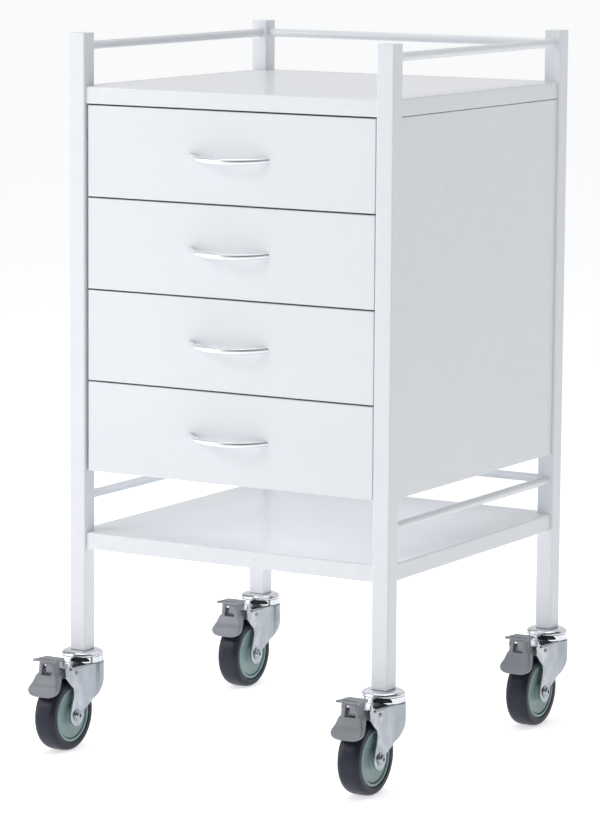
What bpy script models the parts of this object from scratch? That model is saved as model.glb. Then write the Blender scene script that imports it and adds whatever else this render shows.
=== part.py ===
# A rolling salon trolley: four square posts on swivel castors carry a work surface, a lower shelf
# and a cabinet of four drawers. Metres, +Z up, the front at -Y, the floor at z = 0.

import math

import bmesh
import bpy
from mathutils import Matrix, Vector

# Frame
frame_width = 0.500  # over the posts
frame_depth = 0.500
post_side = 0.025
post_wall = 0.0015
post_corner = 0.002
post_rise = 0.0715  # posts above the work surface
rail_diameter = 0.012
rail_wall = 0.001
top_rail_drop = 0.018  # rail axis below the posts' tops
lower_rail_rise = 0.0475  # rail axis above the lower shelf

# Shelves and panels
sheet = 0.001
panel_recess = 0.004  # sheet faces stand back from the posts' outer faces
shelf_edge = 0.023
work_height = 0.906
shelf_rise = 0.165  # lower shelf's top above the posts' ends
bay_height = 0.0855  # lower shelf's top to the cabinet
panel_seam = 0.0015
side_flange = 0.036
back_flange = 0.008

# Drawers, counted from the top
drawer_count = 4
drawer_gap = 0.002
drawer_side_gap = 0.003
front_thickness = 0.016
box_wall = 0.0009
box_rise = 0.008  # box bottom above the front's lower edge
box_headroom = 0.020  # box top below the front's upper edge
box_back_gap = 0.048  # box to the back panel
slide_space = 0.0128  # between a box side and the posts' inner faces
runner_sheet = 0.0012
runner_side_gap = 0.003  # runner to the posts' inner faces
runner_stop_gap = 0.048  # runner's back end to the channel's
channel_height = 0.035
ball_gap = 0.0023  # runner to channel, above and below
upright_thickness = 0.002

# Bow handles
handle_span = 0.112
handle_reach = 0.028  # front face to the rod's axis at the middle
handle_diameter = 0.0088
handle_stations = 13
handle_sides = 10

# Castors
wheel_radius = 0.050
tyre_width = 0.0316
tyre_thickness = 0.0127
tyre_shoulder = 0.006
tyre_head_gap = 0.014  # tyre to the fork's crown
tyre_side_gap = 0.0042  # tyre to a fork leg
trail = 0.0465  # wheel axle in front of the swivel axis
stem_gap = 0.002  # stem to the post's inside
stem_length = 0.040
head_height = 0.0155  # fork's crown to the post's end
cap_radius = 0.029
cap_depth = 0.0145
cap_shell = 0.0015
cap_ledge = 0.0023  # flat of the cap round the post's corners
race_radius = 0.017
race_gap = 0.002
king_pin_radius = 0.005
king_pin_head = 0.0085
king_pin_head_height = 0.002
crown_thickness = 0.003
crown_radius = 0.0285
fork_sheet = 0.0025
fork_skirt = 0.027
fork_front = 0.062  # the crown's reach in front of the swivel axis
ear_front = 0.0735  # the legs' ears' reach
ear_slope = 0.001
ear_drop = 0.011
leg_waist = ((0.0155, 0.022), (0.007, 0.032), (0.007, 0.039))  # ahead of the axle, below the top
leg_calf = (0.0275, 0.009)  # behind the axle, above it
leg_heel = ((0.013, 0.0445), (0.003, 0.0355), (0.0, 0.024), (0.0, 0.0))  # ahead of the heel, below the top
heel_margin = 0.001
eye_radius = 0.0155
eye_sweep = (172, 385)  # degrees
axle_radius = 0.005
axle_overhang = 0.002
hub_gap = 0.0015
hub_radius = 0.012
hub_draft = 0.001
disc_half = 0.011
rim_lip = 0.006
rim_recess = 0.001  # rim inside the tyre's side
tyre_bead = 0.0005  # the tyre's inner edge inside its side
tyre_round = ((0.002, 0.0025), (0.0, 0.009))  # from the tread inwards, in from the side

# Brake pedals
pivot_reach = 0.048  # pedal pivot in front of the swivel axis
pivot_drop = 0.008  # pedal pivot below the crown's top
pedal_pin_radius = 0.003
tread_gap = 0.0045  # the tread's front face in front of the tyre
pedal_cheek = 0.0025
pedal_pin_overhang = 0.001
pedal_side_gap = 0.001  # cheek to fork leg
tread_neck = 0.0022  # the neck, narrower on each side than the cheeks
tread_flare = 0.004  # the tread's widest part, wider on each side than the cheeks
tread_foot = -0.003  # the foot, narrower than the cheeks
tread_drop = 0.035  # the tread's foot below the crown's top
tread_wall = 0.003
# The tread's levels from the top, as (wider than the cheeks, behind the foot, above the foot).
tread_levels = (
    (-tread_neck, 0.015, 0.039),
    (-tread_neck + 0.001, 0.0105, 0.024),
    (tread_flare, 0.002, 0.0105),
    (tread_foot, 0.0, 0.0),
)
# A cheek's edges, as (behind the tread's foot, above the crown's top).
cheek_front = ((0.014, 0.013), (0.0095, -0.011), (0.0035, -0.031), (0.012, -0.027), (0.022, -0.014))
cheek_neck = 0.004  # the cheek's top behind the fork's crown
cheek_eye = 0.0055  # from the pivot back to the cheek's edge
cheek_eye_rise = 0.0025
cheek_eye_drop = 0.004
cheek_throat = 0.012
release_rise = 0.015  # the release plate's middle above the crown's top
release_back = 0.002
release_front = 0.0075
release_slope = 0.003
release_thickness = 0.003
release_inset = 0.0005

# Fits
fit_gap = 0.0003  # between faces that touch
smooth_angle = 32  # degrees
pin_gap = 0.0003  # round a pin that turns
bore_gap = 0.0004  # round the axle and the king pin

# Derived sizes and places. The frame stands back, so that the castors' front and back reach are
# centred on the origin.
crown_top = 2 * wheel_radius + tyre_head_gap + crown_thickness
castor_height = crown_top + head_height
fork_half_width = tyre_width / 2 + tyre_side_gap + fork_sheet
leg_inner_x = fork_half_width - fork_sheet
pedal_half_width = leg_inner_x - pedal_side_gap
pedal_reach = trail + wheel_radius + tread_gap
pivot_z = crown_top - pivot_drop
tyre_bore = wheel_radius - tyre_thickness
frame_y = (pedal_reach - cap_radius) / 2
post_x = (frame_width - post_side) / 2
post_y = (frame_depth - post_side) / 2
inner_x = frame_width / 2 - post_side
inner_y = frame_depth / 2 - post_side
face_x = frame_width / 2 - panel_recess
face_y = frame_depth / 2 - panel_recess
between_x = 2 * (inner_x - fit_gap)
between_y = 2 * (inner_y - fit_gap)
post_top = work_height + post_rise
shelf_bottom = work_height - shelf_edge
lower_shelf_height = castor_height + shelf_rise
cabinet_bottom = lower_shelf_height + bay_height
panel_top = shelf_bottom - panel_seam
drawers_top = shelf_bottom - drawer_gap
drawer_pitch = (drawers_top + drawer_gap - cabinet_bottom) / drawer_count
front_height = drawer_pitch - drawer_gap
box_half = inner_x - slide_space
box_height = front_height - box_rise - box_headroom
box_front_y = -face_y + front_thickness + fit_gap
box_back_y = face_y - back_flange - box_back_gap
runner_rise = box_rise + box_height / 2
runner_height = channel_height - 2 * runner_sheet - 2 * ball_gap
castors = {"fl": (-1, -1), "fr": (1, -1), "bl": (-1, 1), "br": (1, 1)}
round_steps = 16
wheel_steps = 24

finishes = {
    "powder_coat": ((0.82, 0.84, 0.87), 0.35, 0.0),
    "satin_chrome": ((0.72, 0.73, 0.75), 0.22, 1.0),
    "bright_zinc": ((0.78, 0.79, 0.81), 0.16, 1.0),
    "runner_steel": ((0.60, 0.61, 0.62), 0.38, 1.0),
    "rubber": ((0.055, 0.055, 0.065), 0.62, 0.0),
    "wheel_plastic": ((0.23, 0.30, 0.28), 0.45, 0.0),
    "pedal_plastic": ((0.30, 0.31, 0.33), 0.42, 0.0),
}


def clear_scene():
    for old in list(bpy.data.objects):
        bpy.data.objects.remove(old, do_unlink=True)


def finish(node, kind):
    colour, roughness, metallic = finishes[kind]
    material = bpy.data.materials.new(f"{node}_{kind}")
    material.use_nodes = True
    shader = material.node_tree.nodes["Principled BSDF"]
    shader.inputs["Base Color"].default_value = (*colour, 1.0)
    shader.inputs["Roughness"].default_value = roughness
    shader.inputs["Metallic"].default_value = metallic
    return material


def to_object(name, bm):
    bmesh.ops.recalc_face_normals(bm, faces=bm.faces)
    mesh = bpy.data.meshes.new(name)
    bm.to_mesh(mesh)
    bm.free()
    made = bpy.data.objects.new(name, mesh)
    bpy.context.scene.collection.objects.link(made)
    return made


def piece(name, mesh, kind, place=(0.0, 0.0, 0.0), parent=None):
    made = bpy.data.objects.new(name, mesh)
    bpy.context.scene.collection.objects.link(made)
    made.location = place
    made.parent = parent
    if not mesh.materials:
        mesh.materials.append(finish(mesh.name, kind))
    return made


def axis_point(name, place, parent=None):
    made = bpy.data.objects.new(name, None)
    bpy.context.scene.collection.objects.link(made)
    made.location = place
    made.parent = parent
    return made


def mesh_of(obj):
    """The object's mesh with its modifiers applied; the object itself is removed."""
    graph = bpy.context.evaluated_depsgraph_get()
    mesh = bpy.data.meshes.new_from_object(obj.evaluated_get(graph))
    mesh.name = obj.name
    bpy.data.objects.remove(obj, do_unlink=True)
    return mesh


def combined(name, base, tools, operation="UNION"):
    """Joins the tools to the base, or cuts them from it."""
    for tool in tools:
        step = base.modifiers.new(operation, "BOOLEAN")
        step.operation = operation
        step.solver = "EXACT"
        step.object = tool
        mesh = bpy.data.meshes.new_from_object(base.evaluated_get(bpy.context.evaluated_depsgraph_get()))
        base.modifiers.clear()
        base.data = mesh
        bpy.data.objects.remove(tool, do_unlink=True)
    base.name = name
    return base


def smooth(obj):
    obj.data.shade_smooth()
    obj.data.set_sharp_from_angle(angle=math.radians(smooth_angle))
    return obj


def add_plate(bm, outline, low, high):
    """A prism on an XY outline, from low to high. Returns its lower face."""
    base = bm.faces.new([bm.verts.new((x, y, low)) for x, y in outline])
    grown = bmesh.ops.extrude_face_region(bm, geom=[base], use_keep_orig=True)
    raised = [item for item in grown["geom"] if isinstance(item, bmesh.types.BMVert)]
    bmesh.ops.translate(bm, verts=raised, vec=(0.0, 0.0, high - low))
    return base


def plate(name, outline, low, high, turn=None):
    bm = bmesh.new()
    add_plate(bm, outline, low, high)
    if turn:
        bmesh.ops.transform(bm, matrix=turn, verts=bm.verts)
    return to_object(name, bm)


def tray(name, outline, height, wall, floor, turn=None):
    """A prism from 0 to height with a pocket from below, which leaves the wall and the floor."""
    bm = bmesh.new()
    base = add_plate(bm, outline, 0.0, height)
    bmesh.ops.recalc_face_normals(bm, faces=bm.faces)
    bmesh.ops.inset_individual(bm, faces=[base], thickness=wall, use_even_offset=True)
    inner = bmesh.ops.extrude_discrete_faces(bm, faces=[base])["faces"][0]
    rim = [edge for edge in bm.edges if edge.is_boundary and edge not in set(inner.edges)]
    bmesh.ops.translate(bm, verts=inner.verts, vec=(0.0, 0.0, height - floor))
    bmesh.ops.bridge_loops(bm, edges=rim + list(inner.edges))
    if turn:
        bmesh.ops.transform(bm, matrix=turn, verts=bm.verts)
    return to_object(name, bm)


def box_outline(low_x, high_x, low_y, high_y):
    return [(low_x, low_y), (high_x, low_y), (high_x, high_y), (low_x, high_y)]


def rounded_square(side, corner, steps=3):
    centre = side / 2 - corner
    points = []
    for quarter, (sign_x, sign_y) in enumerate(((1, 1), (-1, 1), (-1, -1), (1, -1))):
        for step in range(steps + 1):
            angle = math.pi / 2 * (quarter + step / steps)
            x = sign_x * centre + corner * math.cos(angle)
            y = sign_y * centre + corner * math.sin(angle)
            points.append((x, y))
    return points


def arc(centre, radius, start, end, steps):
    """Points on an arc, angles in degrees."""
    points = []
    for step in range(steps + 1):
        angle = math.radians(start + (end - start) * step / steps)
        points.append((centre[0] + radius * math.cos(angle), centre[1] + radius * math.sin(angle)))
    return points


def turned(name, profile, steps, closed=False, phase=0.0, turn=None):
    """A profile of (radius, height) spun about Z. An open one starts and ends on the axis."""
    bm = bmesh.new()
    start = Matrix.Rotation(phase, 3, "Z")
    verts = [bm.verts.new(start @ Vector((radius, 0.0, height))) for radius, height in profile]
    pairs = list(zip(verts, verts[1:]))
    if closed:
        pairs.append((verts[-1], verts[0]))
    edges = [bm.edges.new(pair) for pair in pairs]
    bmesh.ops.spin(
        bm, geom=verts + edges, cent=(0, 0, 0), axis=(0, 0, 1), angle=math.tau, steps=steps, use_merge=True
    )
    bmesh.ops.remove_doubles(bm, verts=bm.verts, dist=1e-6)
    if turn:
        bmesh.ops.transform(bm, matrix=turn, verts=bm.verts)
    return to_object(name, bm)


def rod(name, radius, length, steps, turn=None):
    bm = bmesh.new()
    bmesh.ops.create_cone(
        bm, cap_ends=True, cap_tris=False, segments=steps, radius1=radius, radius2=radius, depth=length
    )
    if turn:
        bmesh.ops.transform(bm, matrix=turn, verts=bm.verts)
    return to_object(name, bm)


def tube(name, radius, wall, length, turn):
    end = length / 2
    profile = [(radius, end), (radius, -end), (radius - wall, -end), (radius - wall, end)]
    return turned(name, profile, round_steps, closed=True, turn=turn)


along_x = Matrix.Rotation(math.pi / 2, 4, "Y")
along_y = Matrix.Rotation(-math.pi / 2, 4, "X")
# An outline of (y, z) extruded in x.
side_on = Matrix(((0, 0, 1, 0), (1, 0, 0, 0), (0, 1, 0, 0), (0, 0, 0, 1)))
# An outline of (x, z) extruded in y.
front_on = Matrix(((1, 0, 0, 0), (0, 0, 1, 0), (0, 1, 0, 0), (0, 0, 0, 1)))


def channel_outline(back, tip, low, high, gauge):
    """A C section of bent sheet: the web at x = back, the flanges' tips at x = tip."""
    web = back + math.copysign(gauge, tip - back)
    return [
        (back, low),
        (tip, low),
        (tip, low + gauge),
        (web, low + gauge),
        (web, high - gauge),
        (tip, high - gauge),
        (tip, high),
        (back, high),
    ]


def make_posts():
    outline = rounded_square(post_side, post_corner)
    mesh = mesh_of(smooth(tray("post", outline, post_top - castor_height, post_wall, post_wall)))
    for key, (side, end) in castors.items():
        piece(f"post_{key}", mesh, "powder_coat", (side * post_x, end * post_y + frame_y, castor_height))


def make_rails():
    cross_mesh = mesh_of(smooth(tube("cross_rail", rail_diameter / 2, rail_wall, between_x, along_x)))
    side_mesh = mesh_of(smooth(tube("side_rail", rail_diameter / 2, rail_wall, between_y, along_y)))
    heights = {"top": post_top - top_rail_drop, "lower": lower_shelf_height + lower_rail_rise}
    for level, height in heights.items():
        piece(f"{level}_rail_left", side_mesh, "powder_coat", (-post_x, frame_y, height))
        piece(f"{level}_rail_right", side_mesh, "powder_coat", (post_x, frame_y, height))
        piece(f"{level}_rail_back", cross_mesh, "powder_coat", (0.0, post_y + frame_y, height))


def shelf_outline():
    """The sheet's outline, notched round the four posts."""
    notch_x = inner_x - fit_gap
    notch_y = inner_y - fit_gap
    quarter = [(notch_x, face_y), (notch_x, notch_y), (face_x, notch_y)]
    return (
        [(face_x, -notch_y), (notch_x, -notch_y), (notch_x, -face_y)]
        + [(-x, -y) for x, y in quarter]
        + [(-face_x, notch_y), (-notch_x, notch_y), (-notch_x, face_y)]
        + quarter
    )


def make_shelves():
    mesh = mesh_of(tray("shelf", shelf_outline(), shelf_edge, sheet, sheet))
    piece("top_shelf", mesh, "powder_coat", (0.0, frame_y, shelf_bottom))
    piece("lower_shelf", mesh, "powder_coat", (0.0, frame_y, lower_shelf_height - shelf_edge))


def make_panels():
    section = channel_outline(face_x, face_x - side_flange, cabinet_bottom, panel_top, sheet)
    for label, side in (("right", 1), ("left", -1)):
        outline = [(side * x, z) for x, z in section]
        made = plate(f"side_panel_{label}", outline, -between_y / 2, between_y / 2, front_on)
        piece(made.name, mesh_of(made), "powder_coat", (0.0, frame_y, 0.0))
    section = channel_outline(face_y, face_y - back_flange, cabinet_bottom, panel_top, sheet)
    made = plate("back_panel", section, -between_x / 2, between_x / 2, side_on)
    piece(made.name, mesh_of(made), "powder_coat", (0.0, frame_y, 0.0))


def make_floor():
    low = cabinet_bottom + sheet + fit_gap
    back = face_y - back_flange - fit_gap
    outline = box_outline(-between_x / 2, between_x / 2, box_front_y, back)
    made = plate("cabinet_floor", outline, low, low + sheet)
    piece(made.name, mesh_of(made), "powder_coat", (0.0, frame_y, 0.0))


def front_low(number):
    """Height of the lower edge of drawer number 1 to drawer_count's front."""
    return drawers_top - (number - 1) * drawer_pitch - front_height


def make_rack(label, side):
    """Two uprights between the posts with one channel for each drawer."""
    tip = box_half + fit_gap + runner_sheet + fit_gap
    back = inner_x + runner_sheet
    half_run = inner_y - 2 * fit_gap
    low = cabinet_bottom + 2 * sheet + 2 * fit_gap
    high = panel_top - sheet - fit_gap
    near = sorted((side * inner_x, side * (face_x - sheet - fit_gap)))
    uprights = []
    for end in (-1, 1):
        span = sorted((end * half_run, end * (half_run - upright_thickness)))
        uprights.append(plate("upright", box_outline(*near, *span), low + sheet, high))
    rails = []
    for number in range(1, drawer_count + 1):
        middle = front_low(number) + runner_rise
        bottom = middle - channel_height / 2
        section = channel_outline(back, tip, bottom, bottom + channel_height, runner_sheet)
        outline = [(side * x, z) for x, z in section]
        rails.append(plate("channel", outline, -half_run, half_run, front_on))
    made = combined(f"runner_rack_{label}", rails[0], uprights + rails[1:])
    piece(made.name, mesh_of(made), "runner_steel", (0.0, frame_y, 0.0))


def handle_mesh():
    """A round rod bowed out from the front; its ends are cut flat to meet the face."""
    half = handle_span / 2
    bow_radius = (half**2 + handle_reach**2) / (2 * handle_reach)
    sweep = math.asin(half / bow_radius)
    bow_centre = Vector((0, bow_radius - handle_reach, 0))
    upward = Vector((0, 0, 1))
    bm = bmesh.new()
    rings = []
    for station in range(handle_stations):
        angle = -sweep + 2 * sweep * station / (handle_stations - 1)
        outward = Vector((math.sin(angle), -math.cos(angle), 0))
        forward = Vector((math.cos(angle), math.sin(angle), 0))
        centre = bow_centre + bow_radius * outward
        ring = []
        for side in range(handle_sides):
            turn = math.tau * side / handle_sides
            spoke = outward * math.cos(turn) + upward * math.sin(turn)
            point = centre + spoke * handle_diameter / 2
            if station in (0, handle_stations - 1):
                point -= forward * ((point.y + fit_gap) / forward.y)
            ring.append(bm.verts.new(point))
        rings.append(ring)
    for near, far in zip(rings, rings[1:]):
        for side in range(handle_sides):
            after = (side + 1) % handle_sides
            bm.faces.new((near[side], near[after], far[after], far[side]))
    bm.faces.new(rings[0])
    bm.faces.new(list(reversed(rings[-1])))
    return mesh_of(smooth(to_object("bow_handle", bm)))


def make_drawers():
    """Each drawer hangs from an empty on its slide line."""
    front_outline = box_outline(-inner_x + drawer_side_gap, inner_x - drawer_side_gap, 0.0, front_height)
    open_back = Matrix.Translation((0, -face_y, 0)) @ Matrix(
        ((1, 0, 0, 0), (0, 0, -1, front_thickness), (0, 1, 0, 0), (0, 0, 0, 1))
    )
    front = mesh_of(tray("drawer_front", front_outline, front_thickness, sheet, sheet, open_back))
    open_top = Matrix.Translation((0, 0, box_rise + box_height)) @ Matrix.Rotation(math.pi, 4, "Y")
    outline = box_outline(-box_half, box_half, box_front_y, box_back_y)
    box = mesh_of(tray("drawer_box", outline, box_height, box_wall, box_wall, open_top))
    handle = handle_mesh()
    start = -inner_y + 2 * fit_gap
    end = -start - runner_stop_gap
    low = runner_rise - runner_height / 2
    tip = inner_x - runner_side_gap
    section = channel_outline(box_half + fit_gap, tip, low, low + runner_height, runner_sheet)
    runners = {}
    for label, side in (("left", -1), ("right", 1)):
        outline = [(side * x, z) for x, z in section]
        runners[label] = mesh_of(plate("drawer_runner", outline, start, end, front_on))
    for number in range(1, drawer_count + 1):
        base = axis_point(f"drawer_{number}_slide_axis", (0.0, frame_y, front_low(number)))
        piece(f"drawer_{number}_front", front, "powder_coat", parent=base)
        piece(f"drawer_{number}_box", box, "powder_coat", parent=base)
        piece(f"drawer_{number}_handle", handle, "satin_chrome", (0.0, -face_y, front_height / 2), base)
        for label, mesh in runners.items():
            piece(f"drawer_{number}_runner_{label}", mesh, "runner_steel", parent=base)


def castor_head_mesh():
    """Stem in the post, domed cap, upper ball race and king pin, turned in one."""
    top = castor_height - fit_gap
    lip = top - cap_depth
    race_bottom = crown_top + race_gap
    pin_top = crown_top - crown_thickness - bore_gap
    pin_bottom = pin_top - king_pin_head_height
    stem_radius = post_side / 2 - post_wall - stem_gap
    cap_flat = post_side / math.sqrt(2) + cap_ledge
    dome_width = cap_radius - cap_flat
    outer = [
        (cap_flat + dome_width * math.sin(angle), lip + cap_depth * math.cos(angle) ** 0.8)
        for angle in (0.0, 0.55, 1.05, 1.40)
    ]
    inner = [(radius - cap_shell, height - cap_shell) for radius, height in reversed(outer)]
    inner[0] = (cap_radius - cap_shell, lip)
    profile = (
        [(0.0, top + stem_length), (stem_radius, top + stem_length), (stem_radius, top)]
        + outer
        + [(cap_radius, lip)]
        + inner
        + [(race_radius, top - cap_shell), (race_radius, race_bottom), (king_pin_radius, race_bottom)]
        + [(king_pin_radius, pin_top), (king_pin_head, pin_top)]
        + [(king_pin_head, pin_bottom), (0.0, pin_bottom)]
    )
    return mesh_of(smooth(turned("castor_head", profile, round_steps)))


def leg_outline():
    """One fork leg in (y, z): an ear in front of the crown, a waist, and a round eye at the axle."""
    heel = math.sqrt(crown_radius**2 - fork_half_width**2) + heel_margin
    front = [(-ear_front, crown_top), (-ear_front + ear_slope, crown_top - ear_drop)]
    front += [(-trail - ahead, crown_top - drop) for ahead, drop in leg_waist]
    eye = arc((-trail, wheel_radius), eye_radius, *eye_sweep, 8)
    back = [(-trail + leg_calf[0], wheel_radius + leg_calf[1])]
    back += [(heel - ahead, crown_top - drop) for ahead, drop in leg_heel]
    return front + eye + back


def fork_mesh():
    """Crown, two legs and a curved back in pressed sheet, with the axle riveted through the eyes."""
    inner = leg_inner_x
    low = crown_top - crown_thickness
    crown_outline = arc((0, 0), crown_radius, -52, 232, 14) + [
        (-fork_half_width, -fork_front),
        (fork_half_width, -fork_front),
    ]
    crown = plate("crown", crown_outline, low, crown_top)
    leg_a = plate("leg", leg_outline(), inner, fork_half_width, side_on)
    leg_b = plate("leg", leg_outline(), -fork_half_width, -inner, side_on)
    skirt_outline = arc((0, 0), crown_radius, 25, 155, 8) + arc(
        (0, 0), crown_radius - fork_sheet, 155, 25, 8
    )
    skirt = plate("skirt", skirt_outline, crown_top - fork_skirt, crown_top - crown_thickness / 2)
    reach = fork_half_width + axle_overhang
    seat = Matrix.Translation((0, -trail, wheel_radius)) @ along_x
    axle = rod("axle", axle_radius, 2 * reach, 12, seat)
    made = combined("castor_fork", crown, [leg_a, leg_b, skirt, axle])
    pin_hole = rod("hole", king_pin_radius + bore_gap, 0.02, 12, Matrix.Translation((0, 0, crown_top)))
    pivot = Matrix.Translation((0, -pivot_reach, pivot_z)) @ along_x
    pivot_hole = rod("hole", pedal_pin_radius + pin_gap, 0.08, 12, pivot)
    return mesh_of(smooth(combined("castor_fork", made, [pin_hole, pivot_hole], "DIFFERENCE")))


def wheel_meshes():
    """Wheel centre and tyre about the axle, each with a flat facet at the bottom."""
    spread = 1 / math.cos(math.pi / wheel_steps)
    phase = math.pi / wheel_steps
    hub_half = leg_inner_x - hub_gap
    bore = (axle_radius + bore_gap) * spread
    rim = tyre_bore - fit_gap
    rim_half = tyre_width / 2 - rim_recess
    half = [(bore, hub_half), (hub_radius, hub_half), (hub_radius + hub_draft, disc_half)]
    half += [(rim - rim_lip - hub_draft, disc_half), (rim - rim_lip, rim_half), (rim, rim_half)]
    core_profile = half + [(radius, -x) for radius, x in reversed(half)]
    core = turned("wheel_core", core_profile, wheel_steps, True, phase, along_x)
    side = tyre_width / 2
    crown = wheel_radius * spread
    half = [(tyre_bore, side - tyre_bead), (crown - tyre_shoulder, side)]
    half += [(crown - depth, side - inward) for depth, inward in tyre_round]
    tyre_profile = half + [(radius, -x) for radius, x in reversed(half)]
    tyre = turned("tyre", tyre_profile, wheel_steps, True, phase, along_x)
    return mesh_of(smooth(core)), mesh_of(smooth(tyre))


def tread_object():
    """The lower pedal: a sloping front wall, widest above its foot."""
    foot = crown_top - tread_drop
    bm = bmesh.new()
    rows = []
    for wider, behind, above in tread_levels:
        x = pedal_half_width + wider
        y = -pedal_reach + behind
        z = foot + above
        corners = [(-x, y), (x, y), (-x, y + tread_wall), (x, y + tread_wall)]
        rows.append([bm.verts.new((*corner, z)) for corner in corners])
    for upper, lower in zip(rows, rows[1:]):
        bm.faces.new((upper[0], upper[1], lower[1], lower[0]))
        bm.faces.new((upper[3], upper[2], lower[2], lower[3]))
        bm.faces.new((upper[1], upper[3], lower[3], lower[1]))
        bm.faces.new((upper[2], upper[0], lower[0], lower[2]))
    bm.faces.new((rows[0][0], rows[0][2], rows[0][3], rows[0][1]))
    bm.faces.new((rows[-1][0], rows[-1][1], rows[-1][3], rows[-1][2]))
    return to_object("tread", bm)


def cheek_outline():
    """A pedal cheek in (y, z), from the pivot to the tread and the release plate."""
    eye_back = -pivot_reach + cheek_eye
    low = pivot_z - cheek_eye_drop
    high = pivot_z + cheek_eye_rise
    top = crown_top + cheek_front[0][1]
    back = [(eye_back, low), (eye_back, high), (-fork_front - heel_margin, high)]
    back += [(-fork_front - cheek_neck, top)]
    front = [(-pedal_reach + behind, crown_top + above) for behind, above in cheek_front]
    return back + front + [(-pivot_reach - cheek_throat, low)]


def pedal_mesh():
    """Release plate, cheeks, tread and pivot pin, moulded in one about the pivot."""
    width = pedal_half_width
    cheek_a = plate("cheek", cheek_outline(), width - pedal_cheek, width, side_on)
    cheek_b = plate("cheek", cheek_outline(), -width, -width + pedal_cheek, side_on)
    back = -fork_front - release_back
    front = -pedal_reach + release_front
    middle = crown_top + release_rise
    half = release_thickness / 2
    low = middle - half
    high = middle + half
    release_outline = [(back, low - release_slope), (front, low), (front - half, middle), (front, high)]
    release_outline.append((back, high - release_slope))
    span = width - release_inset
    release = plate("release", release_outline, -span, span, side_on)
    pivot = Matrix.Translation((0, -pivot_reach, pivot_z)) @ along_x
    pin = rod("pin", pedal_pin_radius, 2 * (fork_half_width + pedal_pin_overhang), 12, pivot)
    made = combined("brake_pedal", cheek_a, [release, tread_object(), cheek_b, pin])
    made.data.transform(Matrix.Translation((0, pivot_reach, -pivot_z)))
    return mesh_of(smooth(made))


def make_castors():
    """The fork turns on an empty on the swivel axis, which carries the axle's and the pedal's."""
    head = castor_head_mesh()
    fork = fork_mesh()
    core, tyre = wheel_meshes()
    pedal = pedal_mesh()
    for key, (side, end) in castors.items():
        foot = (side * post_x, end * post_y + frame_y, 0.0)
        piece(f"castor_head_{key}", head, "bright_zinc", foot)
        swivel = axis_point(f"swivel_{key}_axis", foot)
        piece(f"castor_fork_{key}", fork, "bright_zinc", parent=swivel)
        axle = axis_point(f"axle_{key}_axis", (0.0, -trail, wheel_radius), swivel)
        piece(f"wheel_core_{key}", core, "wheel_plastic", parent=axle)
        piece(f"tyre_{key}", tyre, "rubber", parent=axle)
        pivot = axis_point(f"pedal_{key}_axis", (0.0, -pivot_reach, pivot_z), swivel)
        piece(f"brake_pedal_{key}", pedal, "pedal_plastic", parent=pivot)


clear_scene()
make_posts()
make_rails()
make_shelves()
make_panels()
make_floor()
make_rack("left", -1)
make_rack("right", 1)
make_drawers()
make_castors()
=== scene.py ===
# The looks of a rolling salon trolley: powder-coated tube and folded sheet, four drawers on ball
# runners with bow handles, and four braked castors.
import math

import bmesh
import bpy
from mathutils import Matrix, Vector


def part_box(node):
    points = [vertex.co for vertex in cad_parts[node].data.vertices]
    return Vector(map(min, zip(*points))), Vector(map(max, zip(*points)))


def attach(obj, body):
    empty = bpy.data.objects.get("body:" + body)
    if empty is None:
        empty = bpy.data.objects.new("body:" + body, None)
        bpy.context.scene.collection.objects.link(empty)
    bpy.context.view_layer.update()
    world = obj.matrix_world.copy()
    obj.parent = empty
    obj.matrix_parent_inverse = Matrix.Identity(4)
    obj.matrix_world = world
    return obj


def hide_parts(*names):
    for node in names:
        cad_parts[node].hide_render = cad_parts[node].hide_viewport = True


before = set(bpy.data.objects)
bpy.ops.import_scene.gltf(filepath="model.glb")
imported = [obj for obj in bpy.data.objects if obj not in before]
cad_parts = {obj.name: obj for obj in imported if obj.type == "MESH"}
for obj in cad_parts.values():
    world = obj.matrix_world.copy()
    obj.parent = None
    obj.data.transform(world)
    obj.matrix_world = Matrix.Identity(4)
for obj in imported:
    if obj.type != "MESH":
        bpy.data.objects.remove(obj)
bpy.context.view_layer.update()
print("frame loaded:", len(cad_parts), "parts")


# helpers for node trees

def socketKind(value):
    # a finish has no usual value
    if value is None:
        return "NodeSocketMaterial"
    if isinstance(value, (int, float)):
        return "NodeSocketInt" if isinstance(value, int) else "NodeSocketFloat"
    return "NodeSocketColor" if len(value) == 4 else "NodeSocketVector"


def startGroup(name, kind, inputs, **outputs):
    # inputs are labels with their usual values, outputs are labels with their kinds
    tree = bpy.data.node_groups.new(name, kind)
    for label, value in inputs.items():
        socket = tree.interface.new_socket(label, in_out="INPUT", socket_type=socketKind(value))
        if value is not None:
            socket.default_value = value
    for label, socketType in outputs.items():
        tree.interface.new_socket(label, in_out="OUTPUT", socket_type=socketType)
    return tree, tree.nodes.new("NodeGroupInput"), tree.nodes.new("NodeGroupOutput")


def addNode(tree, kind, feeds=None, **settings):
    # feeds are sockets to link or values to set, by the input's name or number
    node = tree.nodes.new(kind)
    for key, value in settings.items():
        setattr(node, key, value)
    for key, value in (feeds or {}).items():
        if isinstance(value, bpy.types.NodeSocket):
            tree.links.new(value, node.inputs[key])
        else:
            node.inputs[key].default_value = value
    return node


def calculate(tree, operation, first, second, **settings):
    return addNode(tree, "ShaderNodeMath", {0: first, 1: second}, operation=operation, **settings).outputs[0]


def remap(tree, value, low, high, feeds=None, **settings):
    sockets = {"Value": value, "From Min": low, "From Max": high, **(feeds or {})}
    return addNode(tree, "ShaderNodeMapRange", sockets, **settings).outputs["Result"]


def blend(tree, share, first, second):
    # a colour mix; its numbered sockets are the share and the two colours
    return addNode(tree, "ShaderNodeMix", {0: share, 6: first, 7: second}, data_type="RGBA").outputs[2]


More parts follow.
